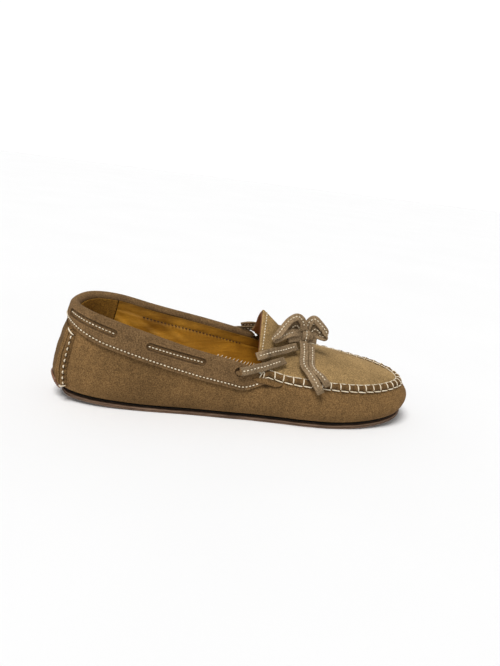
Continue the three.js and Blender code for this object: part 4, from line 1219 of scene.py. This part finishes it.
def build_sole():
    """The outsole's edge is a welt with a groove round it; its tread is flat and slightly worn."""
    s = np.linspace(0, COUNT, 420, endpoint=False)
    share = np.where(s <= TOE, s / TOE, (COUNT - s) / (COUNT - TOE))
    share = np.clip(share, SPINE_END, 1 - SPINE_END)
    spine = (sole_outline(TOE * share) + sole_outline(mix(COUNT, TOE, share))) / 2
    rough = 0.18 * waves(s * 3, 0, seed=9)
    rings = []
    for inward, inset, height, _ in SOLE_PROFILE:
        ring = mix(sole_outline(s, np.full_like(s, inset) + rough * (inward == 0)), spine, inward)
        ring[:, 2] = spring(ring[:, 0]) + height
        rings.append(ring)
    rings = np.stack(rings, 1)
    index = ring_index(rings)
    seam = quads(np.stack([index[:, -1], index[:, 0]], 1))
    mesh = rings.reshape(-1, 3), quads(index).tolist() + seam.tolist()
    tone = [tone for *_, tone in SOLE_PROFILE]
    piece("leather_outsole", mesh, SOLE_LEATHER, replaces=["outsole"], tone=tone)
    base = OUTSOLE + GAP
    upper, lower = foot_plate(MIDSOLE_INSET, base + MIDSOLE, base, 0.03, 0.97, 120)
    piece("dark_midsole", sheet(upper, lower), SOLE_EDGE, replaces=["midsole"])


# ---------------------------------------------------------------- the heel
HEEL_RIDGE = 0.64           # station of each raised seam on the heel's back
HEEL_SPREAD = 0.5           # how much further apart the heel's pieces are at the sole
STATION_WIDTH = 18          # about how many millimetres one station is wide at the heel
WALL_HEIGHT = 60            # about how high the wall is there
# Half the width of the seams, of the strip between them and of the tab, in stations, and the share of
# the wall's height where each starts.
SEAM_HALF, STRIP_HALF, TAB_HALF = 0.15, 0.46, 0.42
SEAM_FOOT, STRIP_FOOT, TAB_FOOT, TAB_TOP = 0.12, 0.1, 0.04, 0.24
FOLD_AT, FRAY_AT = 0.62, 0.575          # stations of the seam's groove, painted dark as shade, and of its frayed pale edge
STITCH_AT = HEEL_RIDGE + 0.1            # station of the seam's stitches
STITCHES_LOW, STITCHES_HIGH = 0.16, 0.72
TIES = [(0.14, 0.03), (0.74, -0.02)]    # the thread's two ties over the seam: height and slope


def heel_point(s, v, height):
    return wall_point(s * (1 + HEEL_SPREAD * (1 - v)), v, height)


def build_heel_seam(name, side):
    """A raised seam: a rounded ridge with a folded edge, a frayed edge and a row of stitches."""
    u = np.linspace(-1, 1, 60)[:, None]
    s = side * (HEEL_RIDGE + SEAM_HALF * u)
    top = below(s, collar_drop(s) + 2.6)
    v = mix(SEAM_FOOT, top, np.linspace(0, 1, 80)[None, :])
    arch = np.sqrt(np.maximum(1 - u**2, 0.02))
    flow = waves(v * 26, s * 4, seed=17)
    ends = edge_round((v - SEAM_FOOT) * WALL_HEIGHT + 0.1, 2) * edge_round((top - v) * WALL_HEIGHT + 0.1, 2)
    fold = bell(np.abs(s) - FOLD_AT + 0.006 * flow, 0.018)
    frayed = bell(np.abs(s) - FRAY_AT + 0.01 * flow, 0.014)
    height = (2.5 + 0.25 * flow - 1.3 * fold + 0.3 * frayed) * arch * ends
    # a dimple where each stitch dips into the ridge
    hole = 0.5 + 0.5 * np.cos(2 * math.pi * (v - 0.1) * 58 / HEEL_SEWING[0])
    dimple = bell(np.abs(s) - STITCH_AT, 0.035) * hole
    # tone: the ridge's crest is painted lighter, and the folded edge's groove and the stitch dimples darker,
    # as painted highlight and shade; the frayed edge is paler
    tone = 0.4 + 0.1 * arch + 0.04 * flow - 0.45 * dimple - 0.5 * fold + 0.42 * frayed
    outer, inner = heel_point(s, v, height - 0.5 * dimple), heel_point(s, v, GAP * 0.5)
    order = slice(None, None, side)
    piece(f"heel_seam_{name}", sheet(outer[order], inner[order]), WALL_SUEDE,
          replaces=[f"heel_ridge_{name}"], tone=tone[order])


def build_heel_stitching(name, side):
    v = np.linspace(STITCHES_LOW, STITCHES_HIGH, 80)
    row = heel_point(side * STITCH_AT, v, 2.1)
    stitches = running_stitches(row, wall_normal(side * STITCH_AT, v), *HEEL_SEWING)
    u = np.linspace(-1, 1, 7)
    s = side * (HEEL_RIDGE + 0.02 + 0.13 * u)
    for tie, slope in TIES:
        path = heel_point(s, tie + slope * u, 1.5 + 1.3 * np.sqrt(1 - 0.8 * u * u))
        stitches.append(thread(path, wall_normal(s, tie), HAND_THREAD))
    piece(f"heel_stitching_{name}", joined(stitches), CREAM, replaces=[f"heel_thread_{name}"])


def build_heel_strip():
    s = np.linspace(-STRIP_HALF, STRIP_HALF, 50)[:, None]
    top = below(s, collar_drop(s) + 3.2)
    v = mix(STRIP_FOOT, top, np.linspace(0, 1, 70)[None, :])
    ragged = waves(v * 40, s * 9, seed=26)
    from_side = (STRIP_HALF - np.abs(s)) * STATION_WIDTH
    height = GAP + (1.2 + 0.25 * ragged) * edge_round(from_side + 0.05, 1.0)
    tone = 0.3 + 0.4 * bell(from_side, 0.9) + 0.08 * ragged
    mesh = sheet(heel_point(s, v, height), heel_point(s, v, GAP * 0.4))
    piece("heel_back_strip", mesh, WALL_SUEDE, replaces=["heel_strip"], tone=tone)


def build_heel_tab():
    s = np.linspace(-TAB_HALF, TAB_HALF, 40)[:, None]
    top = TAB_TOP - 0.06 * (np.abs(s) / TAB_HALF)**3
    v = mix(TAB_FOOT, top, np.linspace(0, 1, 30)[None, :])
    from_edge = np.minimum((TAB_HALF - np.abs(s)) * STATION_WIDTH, (top - v) * WALL_HEIGHT)
    height = 1.8 + 1.0 * edge_round(from_edge + 0.05, 0.8)
    mesh = sheet(heel_point(s, v, height), heel_point(s, v, 1.7))
    piece("heel_leather_tab", mesh, TAB_LEATHER, replaces=["heel_tab"], tone=0.34)


def build_heel():
    for name, side in (("lateral", 1), ("medial", -1)):
        build_heel_seam(name, side)
        build_heel_stitching(name, side)
    build_heel_strip()
    build_heel_tab()


# ---------------------------------------------------------------- the free lace and its bow
def ribbon(route, samples):
    """The path of a strip of lace along a route of points and looks."""
    u = np.linspace(0, 1, samples)
    centre = open_curve([point for point, _ in route])(u)
    return lie_flat(centre, open_curve([look for _, look in route])(u))


def lace_tone(name, arcs):
    """How much lighter or darker a stretch of lace is along its length: random wear everywhere; on the upper
    straps a painted highlight over the first few millimetres, then a darker band; the lower straps painted
    darker, as shade under the upper ones.
    """
    wear = 0.05 * waves(arcs / 4, 0, seed=len(name) + 3)
    if name.startswith("strap_upper"):
        return wear + 0.16 * (1 - smooth(6, 9, arcs)) - 0.2 * bell(arcs - 9, 0.9) - 0.08
    if name.startswith("strap_lower"):
        return wear - 0.12
    return wear + 0.04


def build_free_lace():
    for name, (body, far_end, lay) in FREE_LACE.items():
        centre, across, face = ribbon(ROUTES[name], 60)
        arcs = arc_lengths(centre)
        width = 1 + 0.035 * waves(arcs / 3, 0, seed=len(name))
        tip = smooth(0, 5, arcs[-1] - arcs) if far_end == "bare" else np.ones_like(arcs)
        if far_end == "bare":
            width = width * edge_round(arcs[-1] - arcs + 0.4, 0.8)
        section = lace_section()
        along_tone = mix(0.3, 0.5, tip) + lace_tone(name, arcs)
        edge_tone = 0.1 * np.abs(section[:, 0] / (LACE_WIDTH / 2))**3 - 0.06
        tone = along_tone[:, None] + edge_tone[None, :]
        mesh = sweep(centre, across, face, section, width)
        strip = piece(f"suede_{name}", mesh, LACE_SUEDE, body, [name], tone)
        sewn = slice(3, -5)
        stitches = []
        for out in (face[sewn], -face[sewn]):
            stitches += running_stitches(centre[sewn] + out * 0.5, out, *LACE_SEWING)
        row = piece(f"stitching_{name}", joined(stitches), CREAM, body)


# Short stretches of lace at the knot, as points and looks: five folds round it, and a curl inside each loop.
KNOT_FOLDS = [
    [[[154, -6, 55], [0.1, 0.88, -0.4]], [[152, -7.6, 56.4], [0.15, 0.88, -0.4]],
     [[148.6, -10.1, 57.1], [0.2, 0.88, -0.4]]],
    [[[158, -5, 55], [0.1, 0.9, -0.4]], [[161.5, -5, 56], [0.1, 0.9, -0.4]],
     [[165, -5.3, 56], [0.1, 0.9, -0.4]]],
    [[[153.4, -8.6, 52.6], [0.1, 0.88, -0.4]], [[148.6, -10.8, 53.4], [0.15, 0.88, -0.4]],
     [[142.6, -13.4, 53], [0.2, 0.88, -0.4]]],
    [[[154, -4.4, 59.4], [0, 0.9, -0.3]], [[150, -5, 60], [0, 0.9, -0.3]],
     [[145, -6.4, 59.4], [0, 0.9, -0.3]]],
    [[[158, -6, 52.2], [0.1, 0.9, -0.4]], [[161.5, -6, 52.4], [0.1, 0.9, -0.4]],
     [[165.4, -6, 51.8], [0.1, 0.9, -0.4]]],
]
KNOT_CURLS = [
    [[[154.5, -5.4, 58], [0, -0.9, 0.4]], [[150.6, -6.6, 62.6], [0, -0.9, 0.4]],
     [[146, -8, 62.8], [-0.2, -0.85, 0.4]], [[142.4, -9.4, 58.6], [-0.4, -0.8, 0.3]]],
    [[[158.8, -4, 57.4], [0, -0.9, 0.4]], [[162.4, -4.4, 60.8], [0, -0.9, 0.4]],
     [[166, -5, 60], [0.2, -0.85, 0.4]], [[168.4, -5.6, 57.2], [0.4, -0.8, 0.3]]],
]


def build_knot_folds():
    """The folds stay with the knot, and the curl inside each loop moves with the loop. Both are painted
    darker than the free lace: painted shade, tucked under and inside the bow.
    """
    section = lace_section(LACE_WIDTH - 0.2, 1.4)
    folds = [sweep(*ribbon(route, 26), section) for route in KNOT_FOLDS]
    piece("bow_folds", joined(folds), LACE_SUEDE, tone=0.38)
    for route, body in zip(KNOT_CURLS, ("loop_rear", "loop_front")):
        centre, across, face = ribbon(route, 26)
        stitches = []
        for side in (-1.9, 1.9):
            row = centre + across * side + face * 0.7
            stitches += running_stitches(row[2:-1], face[2:-1], *CURL_SEWING)
        piece(f"bow_curl_{body}", sweep(centre, across, face, section), LACE_SUEDE, body, tone=0.34)
        piece(f"bow_curl_stitching_{body}", joined(stitches), CREAM, body)


KNOT_LEAN = 0.5             # how far the knot's turn leans along the shoe
KNOT_THICKNESS = 2.0
# The folds pressed into the knot: offset along the shoe, lift and size.
KNOT_PRESSED = [(-3.6, -0.2, 3.6), (3.4, 0.1, 3.4), (-1.4, 1.2, 3.0), (1.6, -1.4, 3.2)]


def build_knot():
    """The bow's knot: one turn of lace pulled tight round the gathered lace under it."""
    angle = np.linspace(0, 2 * math.pi, 64)
    cos, sin = np.cos(angle), np.sin(angle)
    half_width, half_height = KNOT_RADII
    centre = KNOT_CENTRE + np.stack([KNOT_LEAN * sin, half_width * cos, half_height * sin], -1)
    face = unit(np.stack([np.zeros_like(angle), cos / half_width, sin / half_height], -1))
    section = lace_section(LACE_WIDTH, KNOT_THICKNESS)
    parts = [sweep(*lie_flat(centre, face), section, 1 + 0.06 * np.cos(3 * angle))]
    outside = centre + face * 0.85
    for offset, lift, size in KNOT_PRESSED:
        parts.append(fold_of_lace(KNOT_CENTRE + np.array([offset, -0.4, lift]), size, offset))
    piece("bow_knot", joined(parts), LACE_SUEDE, replaces=["lace_knot"], tone=0.47)
    piece("bow_knot_stitching", joined(running_stitches(outside, face, *KNOT_SEWING)), CREAM)


def fold_of_lace(centre, size, seed):
    """A rounded fold of lace pressed into the knot."""
    turn = ring_angles(26)[:, None]
    tilt = np.linspace(-math.pi / 2, math.pi / 2, 16)[None, :]
    lumps = 1 + 0.12 * np.sin(3 * turn + seed) * np.cos(tilt) + 0.06 * np.sin(5 * tilt + seed)
    along, across = 0.75 * np.cos(tilt) * np.cos(turn), np.cos(tilt) * np.sin(turn)
    shape = np.stack([along, across, np.broadcast_to(np.sin(tilt), along.shape)], -1)
    grid = centre + shape * size * lumps[..., None]
    return grid.reshape(-1, 3), quads(ring_index(grid)).tolist()


# ---------------------------------------------------------------- hidden parts, light and camera
def dress_hidden_parts():
    """The stiffeners and pads between the layers keep their CAD shapes and get their own materials."""
    finishes = {
        "insole_board": FIBREBOARD, "heel_counter": FIBREBOARD, "toe_puff": FIBREBOARD,
        "heel_cushion": FOAM, "collar_padding": FOAM,
    }
    for name, material in finishes.items():
        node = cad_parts[name]
        node.data.materials.clear()
        node.data.materials.append(material)


FLOOR_SIZE = 8              # metres
NEAREST_SEEN = 0.01         # metres from the camera


def build_floor():
    material, tree, shader = new_material("pale_floor", 0.9, 0.1)
    colour = ramp(tree, noise(tree, 6, 2), 0.2, 0.8, (0.88, 0.88, 0.88), (0.9, 0.9, 0.9))
    tree.links.new(colour, shader.inputs["Base Color"])
    bpy.ops.mesh.primitive_plane_add(size=FLOOR_SIZE)
    floor = bpy.context.object
    floor.name = "floor"
    floor.data.materials.append(material)


BACKDROP_TOP = 0.42            # height of the bright backdrop, as the sine of its angle
BACKDROP_GLOW, STUDIO_GLOW = 1.05, 0.25
LAMP_STRENGTH, LAMP_SPREAD = 2.6, 28
LAMP_FROM = (-0.25, -0.4, 0.88)


def build_light():
    """A bright backdrop near the horizon, a dimmer studio above it and one broad lamp over the shoe."""
    world = bpy.data.worlds.new("studio")
    world.use_nodes = True
    tree = world.node_tree
    direction = tree.nodes.new("ShaderNodeSeparateXYZ")
    tree.links.new(tree.nodes.new("ShaderNodeTexCoord").outputs["Generated"], direction.inputs["Vector"])
    fade = tree.nodes.new("ShaderNodeMapRange")
    fade.inputs["From Min"].default_value = BACKDROP_TOP - 0.08
    fade.inputs["From Max"].default_value = BACKDROP_TOP + 0.08
    fade.inputs["To Min"].default_value = BACKDROP_GLOW
    fade.inputs["To Max"].default_value = STUDIO_GLOW
    tree.links.new(direction.outputs["Z"], fade.inputs["Value"])
    tree.links.new(fade.outputs["Result"], tree.nodes["Background"].inputs["Strength"])
    tree.nodes["Background"].inputs["Color"].default_value = (1, 1, 1, 1)
    bpy.context.scene.world = world
    data = bpy.data.lights.new("softbox", "SUN")
    data.energy = LAMP_STRENGTH
    data.angle = math.radians(LAMP_SPREAD)
    lamp = bpy.data.objects.new("softbox", data)
    lamp.rotation_mode = "QUATERNION"
    lamp.rotation_quaternion = Vector(LAMP_FROM).to_track_quat("Z", "Y")
    bpy.context.scene.collection.objects.link(lamp)
    bpy.context.scene.view_settings.view_transform = "Standard"


# The camera's place, found by a least-squares fit of the shoe's outline and seams to the photo and turned
# into degrees (round the shoe, above it, of roll) and millimetres (its distance from the target, how far
# it sits to the side and up from there, and its lens).
CAMERA_TURN, CAMERA_RISE, CAMERA_ROLL = -12.417, 14.391, 7.5707
CAMERA_TARGET = (119.194, 0, 24.425)
CAMERA_DISTANCE, CAMERA_ASIDE, CAMERA_UP = 491.74, 2.9213, 26.3221
CAMERA_LENS, SENSOR = 37.6238, 36


def build_camera():
    turn, rise, roll = (math.radians(angle) for angle in (CAMERA_TURN, CAMERA_RISE, CAMERA_ROLL))
    target = Vector(CAMERA_TARGET)
    back = Vector((math.sin(turn) * math.cos(rise), -math.cos(turn) * math.cos(rise), math.sin(rise)))
    level = Vector((math.cos(turn), math.sin(turn), 0))
    upright = back.cross(level)
    right = level * math.cos(roll) + upright * math.sin(roll)
    up = upright * math.cos(roll) - level * math.sin(roll)
    place = target + back * CAMERA_DISTANCE + right * CAMERA_ASIDE + up * CAMERA_UP
    data = bpy.data.cameras.new("camera")
    data.sensor_width = SENSOR
    data.lens = CAMERA_LENS
    data.clip_start = NEAREST_SEEN
    camera = bpy.data.objects.new("camera", data)
    camera.matrix_world = Matrix((right, up, back)).transposed().to_4x4()
    camera.location = to_frame(np.array(place))
    bpy.context.scene.collection.objects.link(camera)
    bpy.context.scene.camera = camera


build_camera()
build_light()
build_floor()
build_free_lace()
build_knot()
build_knot_folds()
build_wall()
build_apron()
build_gathered_seam()
build_seam_stitching()
build_front_flap("front_flap_lateral")
build_front_flap("front_flap_medial", medial=True)
build_tongue()
build_collar()
build_collar_lace()
build_linings()
build_sock()
build_sole()
build_heel()
dress_hidden_parts()
